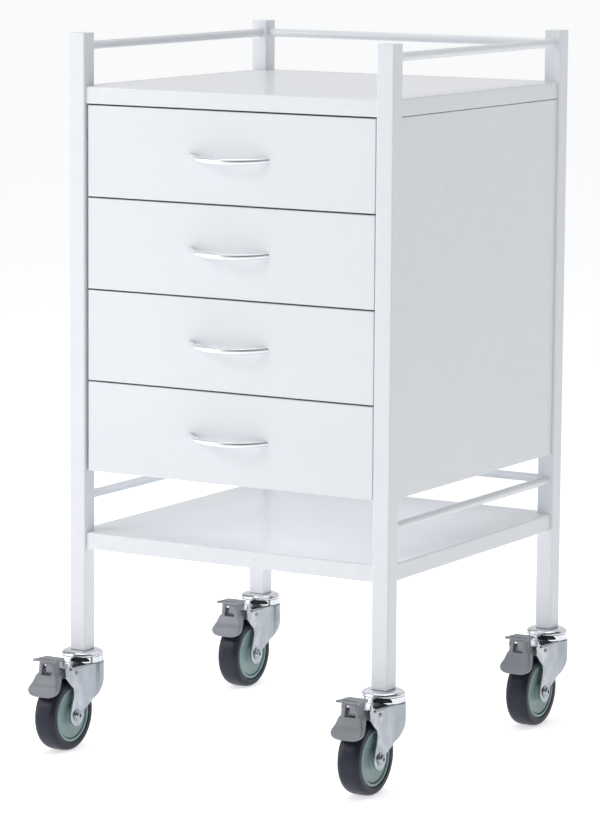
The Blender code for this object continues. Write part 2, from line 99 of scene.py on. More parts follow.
def objectNoise(tree, scale, detail, stretch=None):
    place = addNode(tree, "ShaderNodeTexCoord").outputs["Object"]
    if stretch is not None:
        place = addNode(tree, "ShaderNodeMapping", {"Vector": place, "Scale": stretch}).outputs["Vector"]
    feeds = {"Vector": place, "Scale": scale, "Detail": detail}
    return addNode(tree, "ShaderNodeTexNoise", feeds).outputs["Fac"]


# shader groups shared by the finishes

patternLook = {"patchRange": (0.3, 0.7), "edgeRange": (0.51, 0.58), "wearAndSheenRange": (0.42, 0.68)}


def makeGrainGroup():
    # a fine height pattern; Stretch turns it from orange peel into brushing
    inputs = {"Scale": 900.0, "Stretch": (1, 1, 1)}
    tree, source, sink = startGroup("fineGrain", "ShaderNodeTree", inputs, Height="NodeSocketFloat")
    height = objectNoise(tree, source.outputs["Scale"], 2.0, source.outputs["Stretch"])
    tree.links.new(height, sink.inputs["Height"])
    return tree


def makePatchGroup():
    # slow, soft change of colour and gloss across a surface
    inputs = {"Main": (0.8, 0.8, 0.8, 1), "Away": (0.7, 0.7, 0.7, 1), "Scale": 9.0}
    tree, source, sink = startGroup(
        "softPatches", "ShaderNodeTree", inputs, Color="NodeSocketColor", Value="NodeSocketFloat"
    )
    share = remap(tree, objectNoise(tree, source.outputs["Scale"], 4.0), *patternLook["patchRange"])
    colour = blend(tree, share, source.outputs["Main"], source.outputs["Away"])
    tree.links.new(colour, sink.inputs["Color"])
    tree.links.new(share, sink.inputs["Value"])
    return tree


def makeWearAndSheenGroup():
    # a broken mask along outside edges: rubbed wear where hands and cloths rub, and a painted highlight where
    # edges catch the light
    inputs = {"Amount": 0.3, "Scale": 60.0}
    tree, source, sink = startGroup("edgeWearAndSheen", "ShaderNodeTree", inputs, Mask="NodeSocketFloat")
    shape = addNode(tree, "ShaderNodeNewGeometry")
    edge = remap(tree, shape.outputs["Pointiness"], *patternLook["edgeRange"])
    broken = remap(tree, objectNoise(tree, source.outputs["Scale"], 5.0), *patternLook["wearAndSheenRange"])
    both = calculate(tree, "MULTIPLY", edge, broken)
    mask = calculate(tree, "MULTIPLY", both, source.outputs["Amount"], use_clamp=True)
    tree.links.new(mask, sink.inputs["Mask"])
    return tree


fineGrain = makeGrainGroup()
softPatches = makePatchGroup()
edgeWearAndSheen = makeWearAndSheenGroup()
# what a finish has unless its own dictionary says otherwise
plainLook = {
    "metallic": 0.0, "coat": 0.0, "coatRoughness": 0.1, "specular": 0.5, "roughnessSpread": 0.05,
    "grainStretch": (1, 1, 1), "bumpDistance": 0.0002,
}


def makeFinish(name, changes):
    look = {**plainLook, **changes}
    material = bpy.data.materials.new(name)
    material.use_nodes = True
    tree = material.node_tree
    shader = tree.nodes["Principled BSDF"]
    shader.inputs["Metallic"].default_value = look["metallic"]
    shader.inputs["Coat Weight"].default_value = look["coat"]
    shader.inputs["Coat Roughness"].default_value = look["coatRoughness"]
    shader.inputs["Specular IOR Level"].default_value = look["specular"]
    feeds = {"Main": (*look["colour"], 1), "Away": (*look["colourAway"], 1), "Scale": look["patchScale"]}
    patches = addNode(tree, "ShaderNodeGroup", feeds, node_tree=softPatches)
    wearAndSheen = addNode(tree, "ShaderNodeGroup", {"Amount": look["wearAndSheen"]}, node_tree=edgeWearAndSheen)
    # the colour on the masked edges is partly rubbed wear and partly a painted edge highlight
    colour = blend(tree, wearAndSheen.outputs["Mask"], patches.outputs["Color"], (*look["wornAndSheenColour"], 1))
    tree.links.new(colour, shader.inputs["Base Color"])
    low = look["roughness"] - look["roughnessSpread"]
    high = look["roughness"] + look["roughnessSpread"]
    roughness = remap(tree, patches.outputs["Value"], 0.0, 1.0, {"To Min": low, "To Max": high})
    tree.links.new(roughness, shader.inputs["Roughness"])
    feeds = {"Scale": look["grainScale"], "Stretch": look["grainStretch"]}
    grain = addNode(tree, "ShaderNodeGroup", feeds, node_tree=fineGrain)
    feeds = {"Strength": look["grainStrength"], "Distance": look["bumpDistance"]}
    bump = addNode(tree, "ShaderNodeBump", {**feeds, "Height": grain.outputs["Height"]})
    tree.links.new(bump.outputs["Normal"], shader.inputs["Normal"])
    return material


# each finish's worn colour, lighter than its main colour, is partly rubbed wear and partly a painted
# highlight on its edges
powderCoat = makeFinish("powderCoat", {
    "colour": (0.80, 0.82, 0.855), "colourAway": (0.79, 0.81, 0.847), "patchScale": 7.0,
    "roughness": 0.33, "roughnessSpread": 0.02, "coat": 0.45, "coatRoughness": 0.09,
    "wearAndSheen": 0.35, "wornAndSheenColour": (0.86, 0.87, 0.88), "grainScale": 620.0, "grainStrength": 0.06,
})
satinChrome = makeFinish("satinChrome", {
    "colour": (0.86, 0.87, 0.89), "colourAway": (0.81, 0.82, 0.85), "patchScale": 30.0,
    "metallic": 1.0, "roughness": 0.36, "roughnessSpread": 0.04,
    "wearAndSheen": 0.2, "wornAndSheenColour": (0.9, 0.9, 0.9), "grainScale": 300.0, "grainStretch": (0.15, 6.0, 6.0),
    "grainStrength": 0.08,
})
brightZinc = makeFinish("brightZinc", {
    "colour": (0.405, 0.43, 0.465), "colourAway": (0.335, 0.36, 0.395), "patchScale": 38.0,
    "metallic": 1.0, "roughness": 0.20, "roughnessSpread": 0.05,
    "wearAndSheen": 0.4, "wornAndSheenColour": (0.93, 0.93, 0.93), "grainScale": 150.0, "grainStretch": (1.0, 1.0, 0.12),
    "grainStrength": 0.7,
})
domeChrome = makeFinish("domeChrome", {
    "colour": (0.74, 0.76, 0.79), "colourAway": (0.68, 0.70, 0.74), "patchScale": 40.0,
    "metallic": 1.0, "roughness": 0.07, "roughnessSpread": 0.03,
    "wearAndSheen": 0.3, "wornAndSheenColour": (0.95, 0.95, 0.95), "grainScale": 260.0, "grainStrength": 0.02,
})
runnerSteel = makeFinish("runnerSteel", {
    "colour": (0.60, 0.61, 0.63), "colourAway": (0.55, 0.56, 0.585), "patchScale": 30.0,
    "metallic": 1.0, "roughness": 0.36, "roughnessSpread": 0.04,
    "wearAndSheen": 0.5, "wornAndSheenColour": (0.85, 0.85, 0.86), "grainScale": 400.0, "grainStretch": (6.0, 0.2, 6.0),
    "grainStrength": 0.12,
})
ballSteel = makeFinish("ballSteel", {
    "colour": (0.70, 0.71, 0.73), "colourAway": (0.62, 0.63, 0.66), "patchScale": 300.0,
    "metallic": 1.0, "roughness": 0.12, "roughnessSpread": 0.04,
    "wearAndSheen": 0.0, "wornAndSheenColour": (0.8, 0.8, 0.8), "grainScale": 900.0, "grainStrength": 0.02,
})
tyreRubber = makeFinish("tyreRubber", {
    "colour": (0.013, 0.015, 0.030), "colourAway": (0.018, 0.020, 0.036), "patchScale": 55.0,
    "roughness": 0.37, "roughnessSpread": 0.05, "specular": 0.30,
    "wearAndSheen": 0.5, "wornAndSheenColour": (0.10, 0.10, 0.105), "grainScale": 1100.0, "grainStrength": 0.16,
})
wheelPlastic = makeFinish("wheelPlastic", {
    "colour": (0.255, 0.365, 0.352), "colourAway": (0.232, 0.338, 0.327), "patchScale": 28.0,
    "roughness": 0.40, "roughnessSpread": 0.05,
    "wearAndSheen": 0.5, "wornAndSheenColour": (0.33, 0.42, 0.39), "grainScale": 1400.0, "grainStrength": 0.08,
})
pedalPlastic = makeFinish("pedalPlastic", {
    "colour": (0.255, 0.265, 0.290), "colourAway": (0.228, 0.238, 0.262), "patchScale": 35.0,
    "roughness": 0.42, "roughnessSpread": 0.05,
    "wearAndSheen": 0.6, "wornAndSheenColour": (0.36, 0.37, 0.38), "grainScale": 1300.0, "grainStrength": 0.14,
})
darkSeal = makeFinish("darkSeal", {
    "colour": (0.012, 0.012, 0.014), "colourAway": (0.020, 0.020, 0.022), "patchScale": 90.0,
    "roughness": 0.50, "roughnessSpread": 0.08,
    "wearAndSheen": 0.2, "wornAndSheenColour": (0.06, 0.06, 0.06), "grainScale": 1200.0, "grainStrength": 0.10,
})
print("finishes made")


# shapes

sameSpot = 1e-7
bevelAngle = 32
lipStep = 0.0004
unmoved = Matrix.Identity(4)


def filleted(corners, closed=True, stepAngle=9.0):
    # corners are (x, y, radius); a corner with a radius becomes an arc
    points = []
    count = len(corners)
    for index, (x, y, radius) in enumerate(corners):
        corner = Vector((x, y))
        if radius <= 0 or (not closed and index in (0, count - 1)):
            points.append(corner)
            continue
        before = Vector(corners[index - 1][:2]) - corner
        after = Vector(corners[(index + 1) % count][:2]) - corner
        reach = 0.49 * min(before.length, after.length)
        before.normalize()
        after.normalize()
        half = before.angle(after) / 2
        if half > math.pi / 2 - 0.01:
            points.append(corner)
            continue
        run = min(radius / math.tan(half), reach)
        fitted = run * math.tan(half)
        centre = corner + (before + after).normalized() * (fitted / math.sin(half))
        start = corner + before * run - centre
        end = corner + after * run - centre
        sweep = math.pi - 2 * half
        steps = max(2, math.ceil(math.degrees(sweep) / stepAngle))
        turn = math.copysign(sweep, start.cross(end))
        for step in range(steps + 1):
            points.append(centre + Matrix.Rotation(turn * step / steps, 2) @ start)
    return points


def mitreInset(points, distance):
    # the closed outline moved inwards by the same distance everywhere
    area = sum(a.cross(b) for a, b in zip(points, points[1:] + points[:1]))
    side = math.copysign(1, area)
    moved = []
    for index, point in enumerate(points):
        near = (point - points[index - 1]).normalized()
        far = (points[(index + 1) % len(points)] - point).normalized()
        inNear = Vector((-near.y, near.x)) * side
        inFar = Vector((-far.y, far.x)) * side
        moved.append(point + (inNear + inFar) * (distance / (1 + inNear.dot(inFar))))
    return moved


def addLoft(bm, rings, capEnds=True, closedRings=True, loop=False):
    made = [[bm.verts.new(point) for point in ring] for ring in rings]
    pairs = list(zip(made, made[1:]))
    if loop:
        pairs.append((made[-1], made[0]))
    for near, far in pairs:
        count = len(near)
        for index in range(count if closedRings else count - 1):
            after = (index + 1) % count
            bm.faces.new((near[index], near[after], far[after], far[index]))
    if capEnds and not loop:
        bm.faces.new(list(reversed(made[0])))
        bm.faces.new(made[-1])
    return made


def addFolded(bm, outline, levels, matrix=unmoved):
    # levels are (inset, height); each is the outline drawn in by its inset
    rings = []
    for inset, height in levels:
        rings.append([matrix @ Vector((p.x, p.y, height)) for p in mitreInset(outline, inset)])
    addLoft(bm, rings)


def addPrism(bm, outline, low, high, matrix=unmoved):
    addLoft(bm, [[matrix @ Vector((p.x, p.y, height)) for p in outline] for height in (low, high)])


def addTurned(bm, profile, steps, matrix=unmoved, closed=False):
    # profile points are (radius, height); one that isn't closed starts and ends on the axis
    rings = []
    for step in range(steps):
        turn = Matrix.Rotation(math.tau * step / steps, 4, "Z")
        rings.append([matrix @ turn @ Vector((p[0], 0, p[1])) for p in profile])
    made = addLoft(bm, rings, loop=True, closedRings=closed)
    if not closed:
        for pole in (0, -1):
            bmesh.ops.pointmerge(bm, verts=[ring[pole] for ring in made], merge_co=made[0][pole].co)


def newPiece(name, bm, finish):
    bmesh.ops.remove_doubles(bm, verts=bm.verts, dist=sameSpot)
    bmesh.ops.recalc_face_normals(bm, faces=bm.faces)
    mesh = bpy.data.meshes.new(name)
    bm.to_mesh(mesh)
    bm.free()
    mesh.materials.append(finish)
    obj = bpy.data.objects.new(name, mesh)
    bpy.context.scene.collection.objects.link(obj)
    return obj


def settle(obj):
    # the mesh as its modifiers leave it
    graph = bpy.context.evaluated_depsgraph_get()
    mesh = bpy.data.meshes.new_from_object(
        obj.evaluated_get(graph), preserve_all_data_layers=True, depsgraph=graph
    )
    obj.modifiers.clear()
    obj.data = mesh
    mesh.name = obj.name
    return obj


def useMaterial(obj, finish):
    obj.data.materials.clear()
    obj.data.materials.append(finish)


def thicken(obj, name, thickness, even=False):
    # the surface becomes a wall that lies on the side away from its normals
    wall = obj.modifiers.new(name, "SOLIDIFY")
    wall.thickness = thickness
    wall.offset = -1.0
    wall.use_even_offset = even
    return settle(obj)


def turnOut(obj, pick, axis, side):
    # an open surface is turned over when its picked face looks the wrong way
    probe = pick(obj.data.polygons, key=lambda face: face.center[axis])
    if probe.normal[axis] * side < 0:
        obj.data.flip_normals()


def shade(obj, edge=0.0, segments=3, sharpAngle=40.0):
    # rounds the hard edges, then lets the large flat faces keep their flat shading
    if edge:
        bevel = obj.modifiers.new("softEdges", "BEVEL")
        bevel.width = edge
        bevel.segments = segments
        bevel.limit_method = "ANGLE"
        bevel.angle_limit = math.radians(bevelAngle)
        settle(obj)
    obj.data.shade_smooth()
    obj.data.set_sharp_from_angle(angle=math.radians(sharpAngle))
    even = obj.modifiers.new("evenNormals", "WEIGHTED_NORMAL")
    even.keep_sharp = True
    even.weight = 100
    return settle(obj)


def cut(obj, outline, low, high, matrix=unmoved):
    bm = bmesh.new()
    addPrism(bm, outline, low, high, matrix)
    cutter = newPiece("cutter", bm, obj.data.materials[0])
    step = obj.modifiers.new("cut", "BOOLEAN")
    step.operation = "DIFFERENCE"
    step.object = cutter
    settle(obj)
    bpy.data.objects.remove(cutter, do_unlink=True)
    return obj


def foldedPiece(name, finish, outline, levels, matrix=unmoved):
    bm = bmesh.new()
    addFolded(bm, outline, levels, matrix)
    return shade(newPiece(name, bm, finish))


def turnedPiece(name, finish, profile, steps, matrix=unmoved, closed=False):
    bm = bmesh.new()
    addTurned(bm, profile, steps, matrix, closed)
    return newPiece(name, bm, finish)


def copyTo(obj, name, matrix):
    mesh = obj.data.copy()
    mesh.transform(matrix)
    mesh.name = name
    made = bpy.data.objects.new(name, mesh)
    bpy.context.scene.collection.objects.link(made)
    return made


def fit(obj, body, slotName, *nodes):
    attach(obj, body)
    if nodes:
        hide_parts(*nodes)
    return obj


def rectangle(lowX, highX, lowY, highY, corner=0.0):
    corners = [(lowX, lowY), (highX, lowY), (highX, highY), (lowX, highY)]
    return filleted([(x, y, corner) for x, y in corners])


def quarterTurn(steps):
    return [math.pi / 2 * step / steps for step in range(steps + 1)]


def bend(height, radius, steps=5):
    # levels round a folded edge, from the wall up onto the face
    return [(radius * (1 - math.cos(a)), height - radius * (1 - math.sin(a))) for a in quarterTurn(steps)]


def hemLevels(look, low):
    # the returned lip of a folded sheet, from its inside face down to its foot and round to the wall
    sheet = look["sheet"]
    hem = low + look["hem"]
    foot = low + look["foot"]
    return [
        (sheet, hem), (2 * sheet, hem - lipStep), (2 * sheet, foot),
        (1.5 * sheet, low), (sheet / 2, low), (0.0, foot),
    ]


def bothSides(half):
    # a closed turned profile with the same shape on both sides of height 0
    return half + [(r, -h, f) for r, h, f in reversed(half)]


axisX = Matrix.Rotation(math.pi / 2, 4, "Y")
axisY = Matrix.Rotation(-math.pi / 2, 4, "X")
# a (y, z) outline pushed along x, and an (x, z) outline pushed towards -y
sideOn = Matrix(((0, 0, 1, 0), (1, 0, 0, 0), (0, 1, 0, 0), (0, 0, 0, 1)))
frontOn = Matrix(((1, 0, 0, 0), (0, 0, -1, 0), (0, 1, 0, 0), (0, 0, 0, 1)))


# geometry node trees

facingY = (-math.pi / 2, 0, 0)


def startTree(name, inputs):
    inputs["Finish"] = None
    return startGroup(name, "GeometryNodeTree", inputs, Geometry="NodeSocketGeometry")


def finishTree(tree, geometry, source, sink):
    real = addNode(tree, "GeometryNodeRealizeInstances", {"Geometry": geometry})
    smooth = addNode(tree, "GeometryNodeSetShadeSmooth", {"Geometry": real.outputs[0]})
    feeds = {"Geometry": smooth.outputs[0], "Material": source.outputs["Finish"]}
    coloured = addNode(tree, "GeometryNodeSetMaterial", feeds)
    tree.links.new(coloured.outputs[0], sink.inputs["Geometry"])
    return tree


def moveGeometry(tree, geometry, shift, turn=(0, 0, 0)):
    feeds = {"Geometry": geometry, "Translation": shift, "Rotation": turn}
    return addNode(tree, "GeometryNodeTransform", feeds).outputs[0]


def placeOnPoints(tree, points, instance, turn=(0, 0, 0)):
    feeds = {"Points": points, "Instance": instance, "Rotation": turn}
    return addNode(tree, "GeometryNodeInstanceOnPoints", feeds).outputs[0]


def runTree(name, tree, values):
    obj = bpy.data.objects.new(name, bpy.data.meshes.new(name))
    bpy.context.scene.collection.objects.link(obj)
    step = obj.modifiers.new(tree.name, "NODES")
    step.node_group = tree
    for item in tree.interface.items_tree:
        if item.in_out == "INPUT" and item.name in values:
            step[item.identifier] = values[item.name]
    return settle(obj)


def makeHandleTree():
    # a round rod on an arc through three points, its ends pressed flat on the drawer's face
    tree, source, sink = startTree("bowHandle", {
        "Left End": (-0.05, 0, 0), "Middle": (0, -0.02, 0), "Right End": (0.05, 0, 0),
        "Diameter": 0.009, "Face": 0.0, "Merge Distance": 0.00003, "Stations": 64, "Sides": 28,
    })
    given = source.outputs
    bow = addNode(tree, "GeometryNodeCurveArc", mode="POINTS")
    feeds = {"Start": "Left End", "Middle": "Middle", "End": "Right End", "Resolution": "Stations"}
    for key, label in feeds.items():
        socket = next(s for s in bow.inputs if s.name == key and s.enabled)
        tree.links.new(given[label], socket)
    feeds = {"Resolution": given["Sides"], "Radius": calculate(tree, "MULTIPLY", given["Diameter"], 0.5)}
    section = addNode(tree, "GeometryNodeCurvePrimitiveCircle", feeds)
    along = addNode(tree, "GeometryNodeInputTangent")
    kept = addNode(tree, "GeometryNodeCaptureAttribute")
    kept.capture_items.new("VECTOR", "Along")
    tree.links.new(bow.outputs["Curve"], kept.inputs[0])
    tree.links.new(along.outputs[0], kept.inputs[1])
    feeds = {"Curve": kept.outputs[0], "Profile Curve": section.outputs["Curve"], "Fill Caps": True}
    rod = addNode(tree, "GeometryNodeCurveToMesh", feeds)
    place = addNode(tree, "GeometryNodeInputPosition").outputs[0]
    parts = addNode(tree, "ShaderNodeSeparateXYZ", {0: place})
    runs = addNode(tree, "ShaderNodeSeparateXYZ", {0: kept.outputs[1]})
    # what lies past the face slides back along the rod until it is on the face
    past = calculate(tree, "SUBTRACT", parts.outputs["Y"], given["Face"])
    over = calculate(tree, "MAXIMUM", past, 0.0)
    share = calculate(tree, "DIVIDE", over, runs.outputs["Y"])
    slide = addNode(tree, "ShaderNodeVectorMath", {0: kept.outputs[1], "Scale": share}, operation="SCALE")
    flush = addNode(tree, "ShaderNodeVectorMath", {0: place, 1: slide.outputs[0]}, operation="SUBTRACT")
    feeds = {"Geometry": rod.outputs[0], "Position": flush.outputs[0]}
    pressed = addNode(tree, "GeometryNodeSetPosition", feeds)
    feeds = {"Geometry": pressed.outputs[0], "Distance": given["Merge Distance"]}
    merged = addNode(tree, "GeometryNodeMergeByDistance", feeds)
    return finishTree(tree, merged.outputs[0], source, sink)


def makeBallRunTree():
    # balls in rows along a runner: one row above and one below it, on both sides of the drawer
    tree, source, sink = startTree("ballRun", {
        "Start": (0, 0, 0), "Count": 8, "Pitch": 0.012,
        "Drop": (0, 0, -0.02), "Across": (0.4, 0, 0), "Ball Radius": 0.001,
    })
    given = source.outputs
    step = addNode(tree, "ShaderNodeCombineXYZ", {1: given["Pitch"]})
    feeds = {"Count": given["Count"], "Start Location": given["Start"], "Offset": step.outputs[0]}
    rows = addNode(tree, "GeometryNodeMeshLine", feeds).outputs[0]
    for shift in ("Drop", "Across"):
        moved = moveGeometry(tree, rows, given[shift])
        both = addNode(tree, "GeometryNodeJoinGeometry")
        tree.links.new(rows, both.inputs[0])
        tree.links.new(moved, both.inputs[0])
        rows = both.outputs[0]
    ball = addNode(tree, "GeometryNodeMeshIcoSphere", {"Radius": given["Ball Radius"], "Subdivisions": 2})
    return finishTree(tree, placeOnPoints(tree, rows, ball.outputs[0]), source, sink)


def makeBallRaceTree():
    # a ring of balls round the swivel axis
    inputs = {"Centre": (0, 0, 0), "Ring Radius": 0.02, "Count": 30, "Ball Radius": 0.001}
    tree, source, sink = startTree("ballRace", inputs)
    given = source.outputs
    feeds = {"Vertices": given["Count"], "Radius": given["Ring Radius"]}
    ring = addNode(tree, "GeometryNodeMeshCircle", feeds)
    moved = moveGeometry(tree, ring.outputs[0], given["Centre"])
    ball = addNode(tree, "GeometryNodeMeshIcoSphere", {"Radius": given["Ball Radius"], "Subdivisions": 2})
    return finishTree(tree, placeOnPoints(tree, moved, ball.outputs[0]), source, sink)


def makeScrewTree():
    # low round screw heads with a hexagon socket, in a grid, each facing along +Y
    tree, source, sink = startTree("screwGrid", {
        "Centre": (0, 0, 0), "Across": 0.1, "Up": 0.05, "Columns": 2, "Rows": 2,
        "Head Radius": 0.0035, "Head Height": 0.0016, "Top Share": 0.72, "Socket Share": 0.42,
    })
    given = source.outputs
    feeds = {
        "Size X": given["Across"],
        "Size Y": given["Up"],
        "Vertices X": given["Columns"],
        "Vertices Y": given["Rows"],
    }
    grid = addNode(tree, "GeometryNodeMeshGrid", feeds)
    upright = moveGeometry(tree, grid.outputs[0], given["Centre"], facingY)
    feeds = {
        "Vertices": 20,
        "Side Segments": 3,
        "Radius Top": calculate(tree, "MULTIPLY", given["Head Radius"], given["Top Share"]),
        "Radius Bottom": given["Head Radius"],
        "Depth": given["Head Height"],
    }
    head = addNode(tree, "GeometryNodeMeshCone", feeds)
    hexRadius = calculate(tree, "MULTIPLY", given["Head Radius"], given["Socket Share"])
    feeds = {"Vertices": 6, "Radius": hexRadius, "Depth": given["Head Height"]}
    socket = addNode(tree, "GeometryNodeMeshCylinder", feeds)
    lift = addNode(tree, "ShaderNodeCombineXYZ", {2: given["Head Height"]})
    raised = moveGeometry(tree, socket.outputs[0], lift.outputs[0])
    hollow = addNode(tree, "GeometryNodeMeshBoolean", operation="DIFFERENCE")
    tree.links.new(head.outputs[0], hollow.inputs["Mesh 1"])
    tree.links.new(raised, hollow.inputs["Mesh 2"])
    placed = placeOnPoints(tree, upright, hollow.outputs[0], facingY)
    return finishTree(tree, placed, source, sink)


handleTree = makeHandleTree()
ballRunTree = makeBallRunTree()
ballRaceTree = makeBallRaceTree()
screwTree = makeScrewTree()


# posts; their keys are front or back, then left or right

postKeys = ("fl", "fr", "bl", "br")
postLook = {
    "cornerRadius": 0.0022, "wall": 0.0015, "pocketDepth": 0.045, "topRadius": 0.0011,
    "capSeam": 0.0028, "seamDepth": 0.0002, "seamHalf": 0.0004, "footRound": 0.0003, "footInside": 0.0002,
}


def makePost(key):
    look = postLook
    low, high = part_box(f"post_{key}")
    outline = rectangle(low.x, high.x, low.y, high.y, look["cornerRadius"])
    seam = high.z - look["capSeam"]
    foot = look["footRound"]
    levels = [(look["wall"], low.z + look["pocketDepth"]), (look["wall"], low.z + look["footInside"])]
    levels += [(look["wall"] - foot, low.z), (foot, low.z), (0.0, low.z + foot)]
    levels += [(0.0, seam - look["seamHalf"]), (look["seamDepth"], seam), (0.0, seam + look["seamHalf"])]
    levels += bend(high.z, look["topRadius"])
    made = foldedPiece(f"square_post_{key}", powderCoat, outline, levels)
    fit(made, "frame", "powder_coat", f"post_{key}")


for key in postKeys:
    makePost(key)


# rails, each with a small weld fillet where it meets its posts

railLook = {"weld": 0.0016, "sides": 40, "gap": 0.0003}


def makeRail(node, matrix):
    low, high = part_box(node)
    centre = (low + high) / 2
    size = high - low
    radius = size.z / 2
    half = max(size.x, size.y) / 2 + railLook["gap"]
    weld = railLook["weld"]
    fillet = [(radius + weld * (1 - math.sin(a)), weld * (1 - math.cos(a))) for a in quarterTurn(5)]
    profile = [(0.0, -half)] + [(r, -half + h) for r, h in fillet]
    profile += [(r, half - h) for r, h in reversed(fillet)] + [(0.0, half)]
    place = Matrix.Translation(centre) @ matrix
    made = shade(turnedPiece(f"{node}_tube", powderCoat, profile, railLook["sides"], place))
    fit(made, "frame", "powder_coat", node)


for level in ("top", "lower"):
    makeRail(f"{level}_rail_left", axisY)
    makeRail(f"{level}_rail_right", axisY)
    makeRail(f"{level}_rail_back", axisX)
print("posts and rails made")


# shelves

shelfLook = {"bendRadius": 0.0022, "sheet": 0.001, "hem": 0.009, "foot": 0.0006, "notchGap": 0.0003}


def makeShelf(node, name):
    low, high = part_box(node)
    postLow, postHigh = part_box("post_fl")
    farLow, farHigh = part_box("post_br")
    nearX = postHigh.x + shelfLook["notchGap"]
    farX = farLow.x - shelfLook["notchGap"]
    nearY = postHigh.y + shelfLook["notchGap"]
    farY = farLow.y - shelfLook["notchGap"]
    outline = [(low.x, nearY), (nearX, nearY), (nearX, low.y), (farX, low.y), (farX, nearY), (high.x, nearY)]
    outline += [(high.x, farY), (farX, farY), (farX, high.y), (nearX, high.y), (nearX, farY), (low.x, farY)]
    levels = [(shelfLook["sheet"], high.z - shelfLook["sheet"])] + hemLevels(shelfLook, low.z)
    levels += bend(high.z, shelfLook["bendRadius"])
    made = foldedPiece(name, powderCoat, [Vector(p) for p in outline], levels)
    fit(made, "frame", "powder_coat", node)


makeShelf("top_shelf", "work_surface")
makeShelf("lower_shelf", "storage_shelf")


# side panels and back panel: folded sheet, a flange at top and bottom

panelLook = {"sheet": 0.001, "bendRadius": 0.0012, "topReach": 0.0008, "tipRound": 0.0002}


def foldedSection(back, tip, low, high):
    # a C section whose outside corners are bent
    sheet = panelLook["sheet"]
    outer = panelLook["bendRadius"]
    inner = outer - sheet
    way = math.copysign(1, tip - back)
    web = back + way * sheet
    end = panelLook["tipRound"]
    return filleted([
        (tip, low, end), (tip, low + sheet, end), (web, low + sheet, inner), (web, high - sheet, inner),
        (tip, high - sheet, end), (tip, high, end), (back, high, outer), (back, low, outer),
    ])


def makeSidePanel(side, label):
    node = f"side_panel_{label}"
    low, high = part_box(node)
    back, tip = (high.x, low.x) if side > 0 else (low.x, high.x)
    top = high.z + panelLook["topReach"]
    bm = bmesh.new()
    addPrism(bm, foldedSection(back, tip, low.z, top), -high.y, -low.y, frontOn)
    fit(shade(newPiece(f"{label}_side_sheet", bm, powderCoat)), "frame", "powder_coat", node)


def makeBackPanel():
    low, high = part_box("back_panel")
    bm = bmesh.new()
    addPrism(bm, foldedSection(high.y, low.y, low.z, high.z), low.x, high.x, sideOn)
    fit(shade(newPiece("back_sheet", bm, powderCoat)), "frame", "powder_coat", "back_panel")


makeSidePanel(1, "right")
makeSidePanel(-1, "left")
makeBackPanel()
print("shelves and panels made")


# drawers

frontLook = {"sheet": 0.001, "bendRadius": 0.0014, "hem": 0.008, "foot": 0.0005}
boxLook = {"wall": 0.0009, "corner": 0.004, "floorBend": 0.0022, "hem": 0.008, "rollRound": 0.0002}
handleLook = {
    "diameter": 0.0088, "run": 0.006, "droop": 0.0025, "endShare": 0.75, "stations": 72, "sides": 32,
}
runLook = {"ballRadius": 0.00105, "pitch": 0.0115, "count": 8, "back": 0.006, "gap": 0.00008}
screwLook = {
    "headRadius": 0.0036, "headHeight": 0.0017, "sideInset": 0.035, "endInset": 0.022, "gap": 0.0001,
}


def makeDrawerFront(number):
    low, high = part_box(f"drawer_{number}_front")
    levels = [(frontLook["sheet"], -low.y - frontLook["sheet"])] + hemLevels(frontLook, -high.y)
    levels += bend(-low.y, frontLook["bendRadius"])
    outline = rectangle(low.x, high.x, low.z, high.z)
    made = foldedPiece(f"drawer_{number}_face", powderCoat, outline, levels, frontOn)
    fit(made, f"drawer_{number}", "powder_coat", f"drawer_{number}_front")


def makeDrawerBox(number):
    low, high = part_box(f"drawer_{number}_box")
    outline = rectangle(low.x, high.x, low.y, high.y, boxLook["corner"])
    wall = boxLook["wall"]
    turn = boxLook["floorBend"]
    roll = high.z - boxLook["rollRound"]
    hem = high.z - boxLook["hem"]
    levels = [(turn * (1 - math.sin(a)), low.z + turn * (1 - math.cos(a))) for a in quarterTurn(4)]
    levels += [(0.0, high.z - wall), (wall / 3, roll), (wall, high.z), (wall * 5 / 3, roll)]
    levels += [(2 * wall, high.z - wall), (2 * wall, hem), (wall, hem)]
    turn -= wall
    levels += [(wall + turn * (1 - math.sin(a)), low.z + wall + turn * (1 - math.cos(a)))
               for a in reversed(quarterTurn(4))]
    made = foldedPiece(f"drawer_{number}_tray", powderCoat, outline, levels)
    fit(made, f"drawer_{number}", "powder_coat", f"drawer_{number}_box")


def makeHandle(number):
    low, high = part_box(f"drawer_{number}_handle")
    faceLow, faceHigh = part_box(f"drawer_{number}_front")
    half = handleLook["diameter"] / 2
    middleZ = (low.z + high.z) / 2
    # the arc runs a little past the face, so that the pressed ends are whole
    reach = faceLow.y - (low.y + half)
    span = (high.x - low.x) / 2 - half * handleLook["endShare"]
    radius = (span**2 + reach**2) / (2 * reach)
    depth = handleLook["run"]
    wide = math.sqrt(radius**2 - (radius - reach - depth) ** 2)
    values = {
        "Left End": (-wide, faceLow.y + depth, middleZ),
        "Middle": (0.0, low.y + half, middleZ - handleLook["droop"]),
        "Right End": (wide, faceLow.y + depth, middleZ),
        "Diameter": handleLook["diameter"],
        "Face": faceLow.y,
        "Stations": handleLook["stations"],
        "Sides": handleLook["sides"],
        "Finish": satinChrome,
    }
    made = shade(runTree(f"drawer_{number}_bow", handleTree, values))
    fit(made, f"drawer_{number}", "satin_chrome", f"drawer_{number}_handle")


